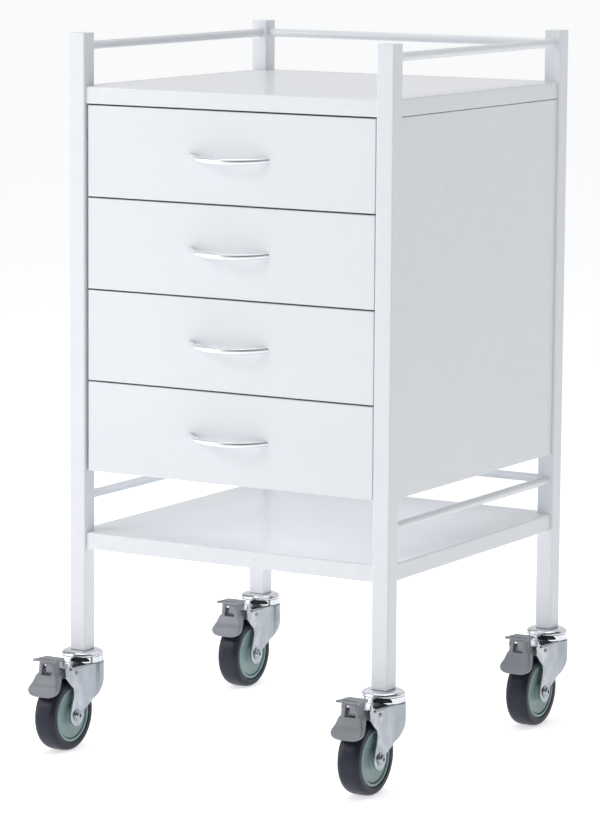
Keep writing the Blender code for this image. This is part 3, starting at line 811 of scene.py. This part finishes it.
def makeBallRun(number):
    low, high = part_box(f"drawer_{number}_runner_left")
    rightLow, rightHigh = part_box(f"drawer_{number}_runner_right")
    inside = (low.x + high.x) / 2
    radius = runLook["ballRadius"]
    away = radius + runLook["gap"]
    run = (runLook["count"] - 1) * runLook["pitch"]
    values = {
        "Start": (inside, high.y - runLook["back"] - run, high.z + away),
        "Count": runLook["count"],
        "Pitch": runLook["pitch"],
        "Drop": (0.0, 0.0, low.z - high.z - 2 * away),
        "Across": ((rightLow.x + rightHigh.x) / 2 - inside, 0.0, 0.0),
        "Ball Radius": radius,
        "Finish": ballSteel,
    }
    fit(runTree(f"drawer_{number}_balls", ballRunTree, values), f"drawer_{number}", "runner_steel")


def makeScrews(number):
    low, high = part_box(f"drawer_{number}_box")
    height = screwLook["headHeight"]
    seat = low.y + boxLook["wall"] + height / 2 + screwLook["gap"]
    values = {
        "Centre": (0.0, seat, (low.z + high.z) / 2),
        "Across": high.x - low.x - 2 * screwLook["sideInset"],
        "Up": high.z - low.z - 2 * screwLook["endInset"],
        "Head Radius": screwLook["headRadius"],
        "Head Height": height,
        "Finish": brightZinc,
    }
    fit(runTree(f"drawer_{number}_screws", screwTree, values), f"drawer_{number}", "bright_zinc")


for number in (1, 2, 3, 4):
    makeDrawerFront(number)
    makeDrawerBox(number)
    makeHandle(number)
    makeBallRun(number)
    makeScrews(number)
print("drawers made")


# frame parts that are shown as they are: runners, their racks and the cabinet's floor

for node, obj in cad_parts.items():
    if "runner" in node:
        useMaterial(obj, runnerSteel)
    if node == "cabinet_floor":
        useMaterial(obj, powderCoat)


# castors, made about the post's axis on the floor and copied to each post

castorLook = {"steps": 72, "crownTop": 0.117, "crownSheet": 0.0025, "trail": 0.0465, "axleHeight": 0.050}
axle = Matrix.Translation((0, -castorLook["trail"], castorLook["axleHeight"])) @ axisX
crownTop = castorLook["crownTop"]

capLook = {
    "radius": 0.0287, "flat": 0.0188, "lip": 0.1254, "top": 0.1322, "shell": 0.0012, "brim": 0.0010,
    "swell": 0.86, "lipRound": 0.0004,
}


def makeCap():
    top = capLook["top"]
    lip = capLook["lip"]
    shell = capLook["shell"]
    radius = capLook["radius"]
    flat = capLook["flat"]
    small = capLook["lipRound"]
    foot = lip + capLook["brim"]
    outer = [(flat + (radius - flat) * math.sin(a), foot + (top - foot) * math.cos(a) ** capLook["swell"])
             for a in quarterTurn(12)]
    inner = [(r - shell, h - shell) for r, h in reversed(outer)]
    inner[0] = (radius - shell, lip + 2 * small)
    profile = [(0.0, top)] + outer + [(radius, lip + small), (radius - small * 0.75, lip)]
    profile += [(radius - shell + small / 2, lip)] + inner + [(0.0, top - shell)]
    return shade(turnedPiece("cap", domeChrome, profile, castorLook["steps"]))


# turned outlines are (radius, height, rounding); the stem stands on the cap's top, the race on the crown,
# and the rivet hangs under the crown's sheet
stemLook = {
    "stem": [(0, 0.0391, 0), (0.0087, 0.0391, 0.0015), (0.0087, 0.0003, 0.0003), (0, 0.0003, 0)],
    "race": [
        (0, 0.0134, 0), (0.0185, 0.0134, 0.001), (0.0225, 0.0036, 0.0008), (0.0170, 0.0012, 0.0006),
        (0.0062, 0.0004, 0.0004), (0, 0.0004, 0),
    ],
    "rivet": [
        (0, -0.0003, 0), (0.0085, -0.0003, 0.0004), (0.0085, -0.0015, 0.001), (0.0045, -0.0029, 0.001),
        (0, -0.0029, 0),
    ],
}


def makeStem():
    # the expander stem in the post, the upper race under the cap, and the riveted king pin below the crown
    bm = bmesh.new()
    levels = {"stem": capLook["top"], "race": crownTop, "rivet": crownTop - castorLook["crownSheet"]}
    for (key, level), steps in zip(levels.items(), (32, 64, 40)):
        addTurned(bm, filleted(stemLook[key], False), steps, Matrix.Translation((0, 0, level)))
    return shade(newPiece("stem", bm, brightZinc))


sealLook = {"inner": 0.0235, "outer": 0.0262, "taper": 0.0016, "top": 0.0112, "gap": 0.0003}


def makeSeal():
    look = sealLook
    low = crownTop + look["gap"]
    high = crownTop + look["top"]
    profile = filleted([
        (look["inner"], low, 0.0003), (look["outer"], low, 0.0006),
        (look["outer"] - look["taper"], high, 0.0006), (look["inner"], high, 0.0003),
    ])
    return shade(turnedPiece("seal", darkSeal, profile, castorLook["steps"], closed=True))


# outlines are (y, height, rounding); the front one is from the crown's top, the back one from the axle
forkLook = {
    "halfWidth": 0.0225, "sheet": 0.0025, "topBend": 0.0035, "frontEdge": -0.062, "flatEnd": -0.005,
    "backRadius": 0.0299, "backJoin": 20, "swell": (0.0008, 0.0045), "swellPull": 0.0055,
    "hemLow": 0.0662, "hemRise": 0.0275, "hemRun": 0.024, "hemPower": 1.7, "hemRows": 6,
    "eyeRadius": 0.0155, "eyeEase": (0.97, 0.35), "edge": 0.0005,
    "frontOutline": [
        (-0.0620, 0.0032, 0.0008), (-0.0665, 0.0036, 0.001), (-0.0688, 0.0084, 0.001),
        (-0.0722, 0.0084, 0.0016), (-0.0738, 0, 0.004), (-0.0732, -0.0115, 0.006),
        (-0.0630, -0.0215, 0.010), (-0.0530, -0.0300, 0.012), (-0.0545, -0.0405, 0.016),
    ],
    "backOutline": [(-0.0275, 0.0052, 0.006), (-0.0185, 0.0094, 0.008)],
}


def forkPlan():
    # half of the fork's plan: a flat side, then a swelling that runs into the round back
    half = forkLook["halfWidth"]
    flat = forkLook["flatEnd"]
    back = forkLook["backRadius"]
    front = forkLook["frontEdge"]
    points = [Vector((half, front + (flat - front) * step / 4)) for step in range(5)]
    join = math.radians(forkLook["backJoin"])
    end = Vector((math.cos(join), math.sin(join))) * back
    tangent = Vector((-math.sin(join), math.cos(join)))
    handles = [points[-1], points[-1] + Vector(forkLook["swell"]), end - tangent * forkLook["swellPull"], end]
    for step in range(1, 9):
        t = step / 8
        weights = ((1 - t) ** 3, 3 * t * (1 - t) ** 2, 3 * t * t * (1 - t), t**3)
        points.append(sum((h * w for h, w in zip(handles, weights)), Vector((0, 0))))
    for step in range(1, 15):
        angle = join + (math.pi / 2 - join) * step / 14
        points.append(Vector((math.cos(angle), math.sin(angle))) * back)
    return points


def forkHem(y):
    # height of the fork's lower edge behind the flat side
    look = forkLook
    share = min((y - look["flatEnd"]) / look["hemRun"], 1.0)
    return look["hemLow"] + look["hemRise"] * math.sin(math.pi / 2 * share) ** look["hemPower"]


def legOutline():
    # the flat side in (y, z), from the crown's front corner down round the axle eye and up the back
    look = forkLook
    trail = -castorLook["trail"]
    eye = look["eyeRadius"]
    height = castorLook["axleHeight"]
    front = [(y, crownTop + z, rounding) for y, z, rounding in look["frontOutline"]]
    easeY, easeZ = look["eyeEase"]
    front += [(trail - eye * easeY, height + eye * easeZ, 0.006), (trail - eye, height, 0)]
    around = [Vector((trail + eye * math.cos(a), height + eye * math.sin(a)))
              for a in [math.radians(180 + 12 * step) for step in range(1, 17)]]
    back = [(*around[-1], 0)]
    back += [(y, height + z, rounding) for y, z, rounding in look["backOutline"]]
    back += [(look["flatEnd"], forkHem(look["flatEnd"]), 0)]
    return filleted(front, False) + around + filleted(back, False)[1:]


def addStrip(bm, near, far):
    for index in range(len(near) - 1):
        bm.faces.new((near[index], near[index + 1], far[index + 1], far[index]))


def makeFork():
    half = forkPlan()
    plan = half + [Vector((-p.x, p.y)) for p in reversed(half[:-1])]
    bendBottom = crownTop - forkLook["topBend"]
    bm = bmesh.new()
    # rings round the bend, from the side walls up onto the crown
    rings = []
    for angle in quarterTurn(5):
        inward = forkLook["topBend"] * (1 - math.cos(angle))
        height = bendBottom + forkLook["topBend"] * math.sin(angle)
        ring = []
        for index, point in enumerate(plan):
            near = plan[max(index - 1, 0)]
            far = plan[min(index + 1, len(plan) - 1)]
            along = (far - near).normalized()
            ring.append(bm.verts.new((point.x - along.y * inward, point.y + along.x * inward, height)))
        rings.append(ring)
    for near, far in zip(rings, rings[1:]):
        addStrip(bm, near, far)
    bm.faces.new(rings[-1])
    # columns down the curved back, between the two flat sides
    first = 4
    last = len(plan) - 5
    rows = forkLook["hemRows"]
    columns = []
    for index in range(first, last + 1):
        hem = forkHem(plan[index].y)
        column = [rings[0][index]]
        for row in range(1, rows + 1):
            height = bendBottom + (hem - bendBottom) * row / rows
            column.append(bm.verts.new((*plan[index], height)))
        columns.append(column)
    for near, far in zip(columns, columns[1:]):
        addStrip(bm, near, far)
    outline = legOutline()
    sides = [(1, columns[0], rings[0][: first + 1]), (-1, columns[-1], rings[0][:last - 1:-1])]
    for side, column, upper in sides:
        edge = [bm.verts.new((side * forkLook["halfWidth"], *p)) for p in outline[:-1]]
        bm.faces.new(upper[:1] + edge + column[:0:-1] + upper[:0:-1])
    made = newPiece("fork", bm, brightZinc)
    turnOut(made, max, 2, 1)
    return shade(thicken(made, "pressedSheet", forkLook["sheet"], True), forkLook["edge"], 2)


cupLook = {
    "radius": 0.0286, "wall": 0.0016, "height": 0.0080, "gap": 0.0001, "edge": 0.0003,
    "windowAngle": -63, "windowHalf": 0.0128, "windowLow": 0.0022, "windowTop": 0.0094, "arch": 0.8,
    "cutNear": 0.015, "cutFar": 0.035,
}


def makeCup():
    # the raised ball cup on the crown, with an arched window
    look = cupLook
    inner = look["radius"] - look["wall"]
    bottom = crownTop + look["gap"]
    top = crownTop + look["height"]
    corners = [(inner, bottom, 0), (look["radius"], bottom, 0.0002)]
    corners += [(look["radius"], top, 0.0004), (inner, top, 0.0004)]
    made = turnedPiece("cup", domeChrome, filleted(corners), castorLook["steps"], closed=True)
    low = crownTop + look["windowLow"]
    rise = look["windowTop"] - look["windowLow"]
    arch = [Vector((look["windowHalf"] * math.cos(a), low + rise * math.sin(a) ** look["arch"]))
            for a in [math.pi * step / 24 for step in range(25)]]
    turn = Matrix.Rotation(math.radians(look["windowAngle"] + 90), 4, "Z")
    return shade(cut(made, arch, look["cutNear"], look["cutFar"], turn @ frontOn), look["edge"], 2)


# turned outlines are (radius, distance past the fork's side, rounding)
boltLook = {
    "head": [
        (0, 0.0026, 0), (0.0021, 0.0026, 0.0003), (0.0024, 0.0054, 0.0004), (0.0046, 0.0050, 0.0016),
        (0.0069, 0.0026, 0.0022), (0.0071, 0.0012, 0.0004), (0.0088, 0.0011, 0.0003),
        (0.0088, 0.0002, 0.0002), (0, 0.0002, 0),
    ],
    "washer": [(0, 0.0002, 0), (0.0086, 0.0002, 0.0002), (0.0086, 0.0013, 0.0003), (0, 0.0013, 0)],
    "stud": [(0, 0.0014, 0), (0.0038, 0.0014, 0), (0.0038, 0.0068, 0.0006), (0, 0.0068, 0)],
    "nut": [(0.0072, 0.0014), (0.0072, 0.0052), (0.0040, 0.0054), (0.0040, 0.0015)],
    "spindle": 0.0048, "spindleReach": 0.0001, "edge": 0.0003,
}


def makeBolts():
    # the axle bolt: its head on one side, its washer, nut and stud on the other
    look = boltLook
    reach = forkLook["halfWidth"]
    bm = bmesh.new()
    addTurned(bm, [(r, reach + h) for r, h in filleted(look["head"], False)], 40, axle)
    for key, steps in (("washer", 40), ("stud", 28)):
        addTurned(bm, [(r, -reach - h) for r, h in filleted(look[key], False)], steps, axle)
    end = reach + look["spindleReach"]
    addTurned(bm, [(0, -end), (look["spindle"], -end), (look["spindle"], end), (0, end)], 28, axle)
    corners = [Vector((math.cos(a), math.sin(a))) for a in [math.pi / 3 * step for step in range(6)]]
    addLoft(bm, [[axle @ Vector((*corner * r, -reach - h)) for corner in corners] for r, h in look["nut"]],
            loop=True)
    return shade(newPiece("bolts", bm, brightZinc), look["edge"], 2, 50)


rivetLook = {
    "place": -0.0625, "drop": 0.0006, "radius": 0.0017, "head": 0.0013, "height": 0.0009, "gap": 0.0001,
}


def makeRivets():
    look = rivetLook
    bm = bmesh.new()
    for side in (-1, 1):
        seat = (side * (forkLook["halfWidth"] + look["gap"]), look["place"], crownTop - look["drop"])
        tip = side * look["height"]
        corners = [(0, 0, 0), (look["radius"], 0, 0.0002), (look["head"], tip, 0.0005), (0, tip, 0)]
        addTurned(bm, filleted(corners, False), 20, Matrix.Translation(seat) @ axisX)
    return shade(newPiece("rivets", bm, darkSeal))


# turned outlines are (radius, distance from the wheel's middle, rounding)
wheelLook = {
    "steps": 96,
    "outline": [
        (0.0052, 0.0174, 0), (0.0060, 0.0182, 0.0003), (0.0113, 0.0182, 0.0006), (0.0125, 0.0138, 0.0022),
        (0.0195, 0.0132, 0.006), (0.0309, 0.0142, 0.0008), (0.0321, 0.0139, 0.0002), (0.0322, 0.0106, 0),
        (0.0333, 0.0106, 0), (0.0334, 0.0154, 0.0012), (0.0350, 0.0160, 0.0022), (0.0374, 0.0152, 0.0010),
        (0.0376, 0.0142, 0.0003),
    ],
    "bearing": [
        (0.0052, 0.0142, 0), (0.0052, 0.0191, 0.0003), (0.0072, 0.0191, 0.0004), (0.0076, 0.0186, 0.0002),
        (0.0104, 0.0186, 0.0003), (0.0108, 0.0183, 0), (0.0108, 0.0142, 0),
    ],
}


def makeWheel():
    profile = filleted(bothSides(wheelLook["outline"]))
    return shade(turnedPiece("wheel", wheelPlastic, profile, wheelLook["steps"], axle, True))


def makeBearing():
    bm = bmesh.new()
    for side in (-1, 1):
        ring = [(r, side * h) for r, h in filleted(wheelLook["bearing"])]
        addTurned(bm, ring, 56, axle, closed=True)
    return shade(newPiece("bearing", bm, runnerSteel))


tyreLook = {
    "radius": 0.050, "halfWidth": 0.0163, "bore": 0.03785, "foot": 0.0136, "wallEnd": 0.0415,
    "rimEdge": [(0.0006, 0.0006), (0.0020, 0.0001)],
    "shoulder": 0.0440, "crownPower": 0.86, "widePower": 0.54, "steps": 112,
}


def makeTyre():
    look = tyreLook
    bore = look["bore"]
    wide = look["halfWidth"]
    shoulder = look["shoulder"]
    half = [(bore, look["foot"])] + [(bore + out, wide - inset) for out, inset in look["rimEdge"]]
    half.append((look["wallEnd"], wide))
    for angle in quarterTurn(18)[:-1]:
        # a superellipse from the side wall up to the crown
        rise = (look["radius"] - shoulder) * math.sin(angle) ** look["crownPower"]
        half.append((shoulder + rise, wide * math.cos(angle) ** look["widePower"]))
    profile = half + [(look["radius"], 0.0)] + [(r, -h) for r, h in reversed(half)]
    return shade(turnedPiece("tyre", tyreRubber, profile, look["steps"], axle, True), sharpAngle=60)


# the tread's stations run from its neck to its foot: height, half width, front face, depth of the sides
treadLook = {
    "wall": 0.0022, "corner": 0.0030, "cornerShare": 0.8, "between": 3, "edge": 0.0003,
    "window": (-0.0084, 0.0084, 0.1105, 0.1250, 0.0012), "cutNear": 0.076, "cutFar": 0.096,
    "stations": [
        (0.1282, 0.0137, -0.0852, 0.0090), (0.1220, 0.0138, -0.0862, 0.0100),
        (0.1165, 0.0140, -0.0876, 0.0105), (0.1128, 0.0144, -0.0886, 0.0110),
        (0.1112, 0.0158, -0.0891, 0.0115), (0.1094, 0.0175, -0.0897, 0.0120),
        (0.1060, 0.0187, -0.0911, 0.0120), (0.1005, 0.0203, -0.0938, 0.0115),
        (0.0970, 0.0217, -0.0964, 0.0105), (0.0938, 0.0232, -0.0986, 0.0090),
        (0.0908, 0.0236, -0.1001, 0.0075), (0.0876, 0.0224, -0.1011, 0.0060),
        (0.0852, 0.0198, -0.1017, 0.0045), (0.0836, 0.0160, -0.1020, 0.0032),
        (0.0826, 0.0108, -0.1021, 0.0026),
    ],
}


def smoothStations(stations, between):
    # a smooth curve through the stations' numbers
    made = []
    for index in range(len(stations) - 1):
        nearby = [stations[min(max(index + shift, 0), len(stations) - 1)] for shift in (-1, 0, 1, 2)]
        for step in range(between):
            t = step / between
            made.append(tuple(
                q + 0.5 * ((r - p) + ((2 * p - 5 * q + 4 * r - s) + (3 * q - p - 3 * r + s) * t) * t) * t
                for p, q, r, s in zip(*nearby)
            ))
    return made + [stations[-1]]


def makeTread():
    look = treadLook
    rings = []
    for z, half, y, depth in smoothStations(look["stations"], look["between"]):
        corner = min(look["corner"], depth * look["cornerShare"])
        path = [(-half, y + depth, 0), (-half, y, corner), (half, y, corner), (half, y + depth, 0)]
        rings.append([Vector((*p, z)) for p in filleted(path, False, 15)])
    bm = bmesh.new()
    addLoft(bm, rings, capEnds=False, closedRings=False)
    made = newPiece("tread", bm, pedalPlastic)
    turnOut(made, min, 1, -1)
    thicken(made, "mouldedWall", look["wall"])
    cut(made, rectangle(*look["window"]), look["cutNear"], look["cutFar"], frontOn)
    return shade(made, look["edge"], 2)


# plan outlines are (x, y, rounding) from the plate's middle, side outlines (y, height, rounding)
plateLook = {
    "place": (0, -0.079, 0.1310), "tilt": 0.8, "half": 0.0015, "edge": 0.0006,
    "plan": [
        (-0.0148, 0.0132, 0.002), (-0.0166, -0.0080, 0.004), (-0.0192, -0.0152, 0.0010),
        (-0.0120, -0.0138, 0.004), (0.0120, -0.0138, 0.004), (0.0192, -0.0152, 0.0010),
        (0.0166, -0.0080, 0.004), (0.0148, 0.0132, 0.002),
    ],
    "ridge": (-0.0120, 0.0120, -0.0100, -0.0088, 0.0005), "ridgeLow": 0.0016, "ridgeTop": 0.0021,
}
cheekLook = {
    "inner": 0.0108, "outer": 0.0130, "edge": 0.0005,
    "outline": [
        (-0.0425, 0.1040, 0.005), (-0.0425, 0.1140, 0.005), (-0.0610, 0.1135, 0.003),
        (-0.0750, 0.1160, 0.003), (-0.0855, 0.1225, 0.001), (-0.0890, 0.1060, 0.002),
        (-0.0880, 0.0990, 0.002), (-0.0800, 0.1040, 0.005), (-0.0600, 0.1040, 0.004),
    ],
    "tab": (-0.0022, 0.0080, 0.1150, 0.1276, 0.0008), "tabNear": 0.0838, "tabFar": 0.0862,
}
leverLook = {
    "inner": 0.0086, "outer": 0.0101, "edge": 0.0003,
    "outline": [
        (-0.0430, 0.1050, 0.004), (-0.0430, 0.1130, 0.004), (-0.0600, 0.1125, 0.002),
        (-0.0790, 0.1180, 0.002), (-0.0800, 0.1110, 0.002), (-0.0620, 0.1035, 0.004),
    ],
    "web": (-0.0086, 0.0086, -0.0600, -0.0480, 0.002), "webLow": 0.1022, "webTop": 0.1036,
}
pinLook = {
    "place": (0, -0.048, 0.109), "slot": (-0.0005, 0.0005, -0.004, 0.004), "slotHalf": 0.0006,
    "slotTurn": 0.5, "slotOut": 0.0015,
    "outline": [(0, 0.0014, 0), (0.0022, 0.0014, 0.0006), (0.0034, 0.0003, 0.0003), (0.0028, 0.0001, 0)],
}


def makePlate():
    # the release plate on top, with a low ridge
    look = plateLook
    lean = Matrix.Translation(look["place"]) @ Matrix.Rotation(-math.radians(look["tilt"]), 4, "X")
    bm = bmesh.new()
    addPrism(bm, filleted(look["plan"]), -look["half"], look["half"], lean)
    addPrism(bm, rectangle(*look["ridge"]), look["ridgeLow"], look["ridgeTop"], lean)
    return shade(newPiece("plate", bm, pedalPlastic), look["edge"], 3)


def addPair(bm, look):
    # the same flat outline on the left and on the right
    for side in (-1, 1):
        low, high = sorted((side * look["inner"], side * look["outer"]))
        addPrism(bm, filleted(look["outline"]), low, high, sideOn)


def makeCheeks():
    # two cheeks back to the pivot, and the latch tab in the window
    bm = bmesh.new()
    addPair(bm, cheekLook)
    addPrism(bm, rectangle(*cheekLook["tab"]), cheekLook["tabNear"], cheekLook["tabFar"], frontOn)
    return shade(newPiece("cheeks", bm, pedalPlastic), cheekLook["edge"], 2)


def makePin():
    # the pivot pin with slotted heads
    look = pinLook
    reach = forkLook["halfWidth"]
    seat = Matrix.Translation(look["place"]) @ axisX
    half = [(r, reach + h, rounding) for r, h, rounding in look["outline"]]
    pin = shade(turnedPiece("pin", brightZinc, filleted(bothSides(half), False), 32, seat))
    for side in (-1, 1):
        end = Matrix.Translation((0, 0, side * (reach + look["slotOut"])))
        turn = seat @ end @ Matrix.Rotation(look["slotTurn"], 4, "Z")
        cut(pin, rectangle(*look["slot"]), -look["slotHalf"], look["slotHalf"], turn)
    return shade(pin)


def makeLever():
    # the brake lever's two arms and the web that joins them above the tyre
    bm = bmesh.new()
    addPair(bm, leverLook)
    addPrism(bm, rectangle(*leverLook["web"]), leverLook["webLow"], leverLook["webTop"])
    return shade(newPiece("lever", bm, runnerSteel), leverLook["edge"], 2)


raceLook = {"radius": 0.0195, "balls": 44, "ball": 0.0011, "gap": 0.0001}
castorPieces = [
    (makeCap(), "dome_cap", "frame", "bright_zinc", "castor_head"),
    (makeStem(), "castor_stem", "frame", "bright_zinc", None),
    (makeSeal(), "race_seal", "frame", "rubber", None),
    (makeFork(), "pressed_fork", "swivel", "bright_zinc", "castor_fork"),
    (makeCup(), "ball_cup", "swivel", "bright_zinc", None),
    (makeBolts(), "axle_bolt", "swivel", "bright_zinc", None),
    (makeRivets(), "ear_rivets", "swivel", "bright_zinc", None),
    (makeWheel(), "wheel_centre", "wheel", "wheel_plastic", "wheel_core"),
    (makeBearing(), "wheel_bearing", "wheel", "runner_steel", None),
    (makeTyre(), "rubber_tyre", "wheel", "rubber", "tyre"),
    (makeTread(), "pedal_tread", "pedal", "pedal_plastic", "brake_pedal"),
    (makePlate(), "release_plate", "pedal", "pedal_plastic", None),
    (makeCheeks(), "pedal_cheeks", "pedal", "pedal_plastic", None),
    (makePin(), "pedal_pin", "pedal", "bright_zinc", None),
    (makeLever(), "brake_lever", "pedal", "bright_zinc", None),
]
for key in postKeys:
    low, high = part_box(f"castor_head_{key}")
    foot = Vector(((low.x + high.x) / 2, (low.y + high.y) / 2, 0.0))
    for master, name, part, slotName, node in castorPieces:
        body = "frame" if part == "frame" else f"{part}_{key}"
        nodes = [f"{node}_{key}"] if node else []
        fit(copyTo(master, f"{name}_{key}", Matrix.Translation(foot)), body, slotName, *nodes)
    values = {
        "Centre": foot + Vector((0, 0, crownTop + raceLook["ball"] + raceLook["gap"])),
        "Ring Radius": raceLook["radius"],
        "Count": raceLook["balls"],
        "Ball Radius": raceLook["ball"],
        "Finish": ballSteel,
    }
    fit(runTree(f"race_balls_{key}", ballRaceTree, values), f"swivel_{key}", "runner_steel")
for master, *rest in castorPieces:
    bpy.data.objects.remove(master, do_unlink=True)
print("castors made")


# floor, light and camera

studioLook = {
    "floorHalf": 60.0, "floorGlow": 0.60, "floorColour": (0.93, 0.935, 0.945), "worldStrength": 0.40,
    "floorRoughness": 0.7, "floorSpecular": 0.2, "roomTint": (0.97, 0.985, 1.0),
    "backdrop": 1.9, "wall": 1.15, "seen": 2.6, "rightSide": (0.46, 0.475, 0.49, 1),
    "behindRange": (0.15, 0.75), "rightRange": (0.10, 0.80),
    # the room's brightness from below (0) to above (1), with a greyer band a little over eye height
    "shades": [(0.0, 1.0), (0.46, 1.0), (0.53, 0.95), (0.62, 0.85), (0.74, 0.95), (1.0, 1.05)],
    # what polished metal sees: direction, cosine of the inner and the outer edge, brightness
    "reflections": [
        ((0.47, -0.85, 0.25), 0.93, 0.80, 0.10),
        ((-0.88, -0.45, 0.12), 0.97, 0.92, 5.5),
        ((0.55, 0.10, 0.83), 0.93, 0.86, 0.25),
    ],
}
# each soft light: its place, what it faces, its size and its power
lightLook = {
    "keyLight": ((-2.40, -2.60, 2.40), (0, 0, 0.55), (1.2, 1.2), 25.0),
    "fillLight": ((-1.55, -1.85, 1.02), (0, 0, 0.55), (1.6, 1.9), 8.0),
    "topLight": ((0, 0.2, 3.4), (0, 0, 0.5), (3.0, 3.0), 41.0),
    "bayLight": ((0, 0.036, 0.381), (0, 0.036, 0.0), (0.42, 0.42), 0.25),
}
cameraLook = {
    "place": (2.6230, -4.4858, 1.2274), "lookAt": (-0.0240, 0.0219, 0.4544), "lens": 167.5, "roll": 0.41,
    "sensor": 36.0, "farthest": 200.0,
}


def makeFloor():
    half = studioLook["floorHalf"]
    bm = bmesh.new()
    bm.faces.new([bm.verts.new((*p, 0)) for p in rectangle(-half, half, -half, half)])
    material = bpy.data.materials.new("paleFloor")
    material.use_nodes = True
    shader = material.node_tree.nodes["Principled BSDF"]
    shader.inputs["Base Color"].default_value = (*studioLook["floorColour"], 1)
    shader.inputs["Roughness"].default_value = studioLook["floorRoughness"]
    shader.inputs["Specular IOR Level"].default_value = studioLook["floorSpecular"]
    shader.inputs["Emission Color"].default_value = (1, 1, 1, 1)
    shader.inputs["Emission Strength"].default_value = studioLook["floorGlow"]
    newPiece("floor", bm, material)


def addSoftbox(name, place, target, size, power):
    light = bpy.data.lights.new(name, "AREA")
    light.shape = "RECTANGLE"
    light.size, light.size_y = size
    light.energy = power
    obj = bpy.data.objects.new(name, light)
    bpy.context.scene.collection.objects.link(obj)
    obj.location = place
    obj.rotation_mode = "QUATERNION"
    obj.rotation_quaternion = (Vector(target) - Vector(place)).to_track_quat("-Z", "Y")


def grey(level):
    return (level, level, level, 1)


def makeWorld():
    # a bright room: brighter behind the trolley, darker on its right for everything but mirror finishes
    look = studioLook
    world = bpy.data.worlds.new("studio")
    bpy.context.scene.world = world
    world.use_nodes = True
    tree = world.node_tree
    background = tree.nodes["Background"]
    background.inputs["Strength"].default_value = look["worldStrength"]
    place = addNode(tree, "ShaderNodeTexCoord").outputs["Generated"]
    parts = addNode(tree, "ShaderNodeSeparateXYZ", {0: place}).outputs
    ramp = addNode(tree, "ShaderNodeValToRGB", {0: remap(tree, parts["Z"], -1.0, 1.0)})
    while len(ramp.color_ramp.elements) < len(look["shades"]):
        ramp.color_ramp.elements.new(0.5)
    for element, (position, level) in zip(ramp.color_ramp.elements, look["shades"]):
        element.position = position
        element.color = (*[level * tint for tint in look["roomTint"]], 1)
    around = ramp.outputs["Color"]
    soft = {"interpolation_type": "SMOOTHSTEP"}
    behind = remap(tree, parts["Y"], *look["behindRange"], **soft)
    rightwards = remap(tree, parts["X"], *look["rightRange"], **soft)
    wall = blend(tree, behind, around, grey(look["wall"]))
    room = blend(tree, rightwards, wall, look["rightSide"])
    mirrored = blend(tree, behind, around, grey(look["backdrop"]))
    for direction, inner, outer, level in look["reflections"]:
        feeds = {0: place, 1: Vector(direction).normalized()}
        facing = addNode(tree, "ShaderNodeVectorMath", feeds, operation="DOT_PRODUCT").outputs["Value"]
        spot = remap(tree, facing, outer, inner, **soft)
        mirrored = blend(tree, spot, mirrored, (level, level, level * 1.02, 1))
    rays = addNode(tree, "ShaderNodeLightPath").outputs
    lit = blend(tree, rays["Is Glossy Ray"], room, mirrored)
    shown = blend(tree, rays["Is Camera Ray"], lit, grey(look["seen"]))
    tree.links.new(shown, background.inputs["Color"])


def makeCamera():
    look = cameraLook
    camera = bpy.data.cameras.new("mainView")
    camera.lens = look["lens"]
    camera.sensor_width = look["sensor"]
    camera.clip_end = look["farthest"]
    obj = bpy.data.objects.new("mainView", camera)
    bpy.context.scene.collection.objects.link(obj)
    back = (Vector(look["place"]) - Vector(look["lookAt"])).normalized()
    right = Vector((0, 0, 1)).cross(back).normalized()
    up = back.cross(right)
    level = Matrix((right, up, back)).transposed()
    turn = level @ Matrix.Rotation(math.radians(look["roll"]), 3, "Z")
    obj.matrix_world = Matrix.Translation(look["place"]) @ turn.to_4x4()
    bpy.context.scene.camera = obj


makeFloor()
for name, settings in lightLook.items():
    addSoftbox(name, *settings)
makeWorld()
makeCamera()
bpy.context.scene.view_settings.view_transform = "Standard"
print("studio made")
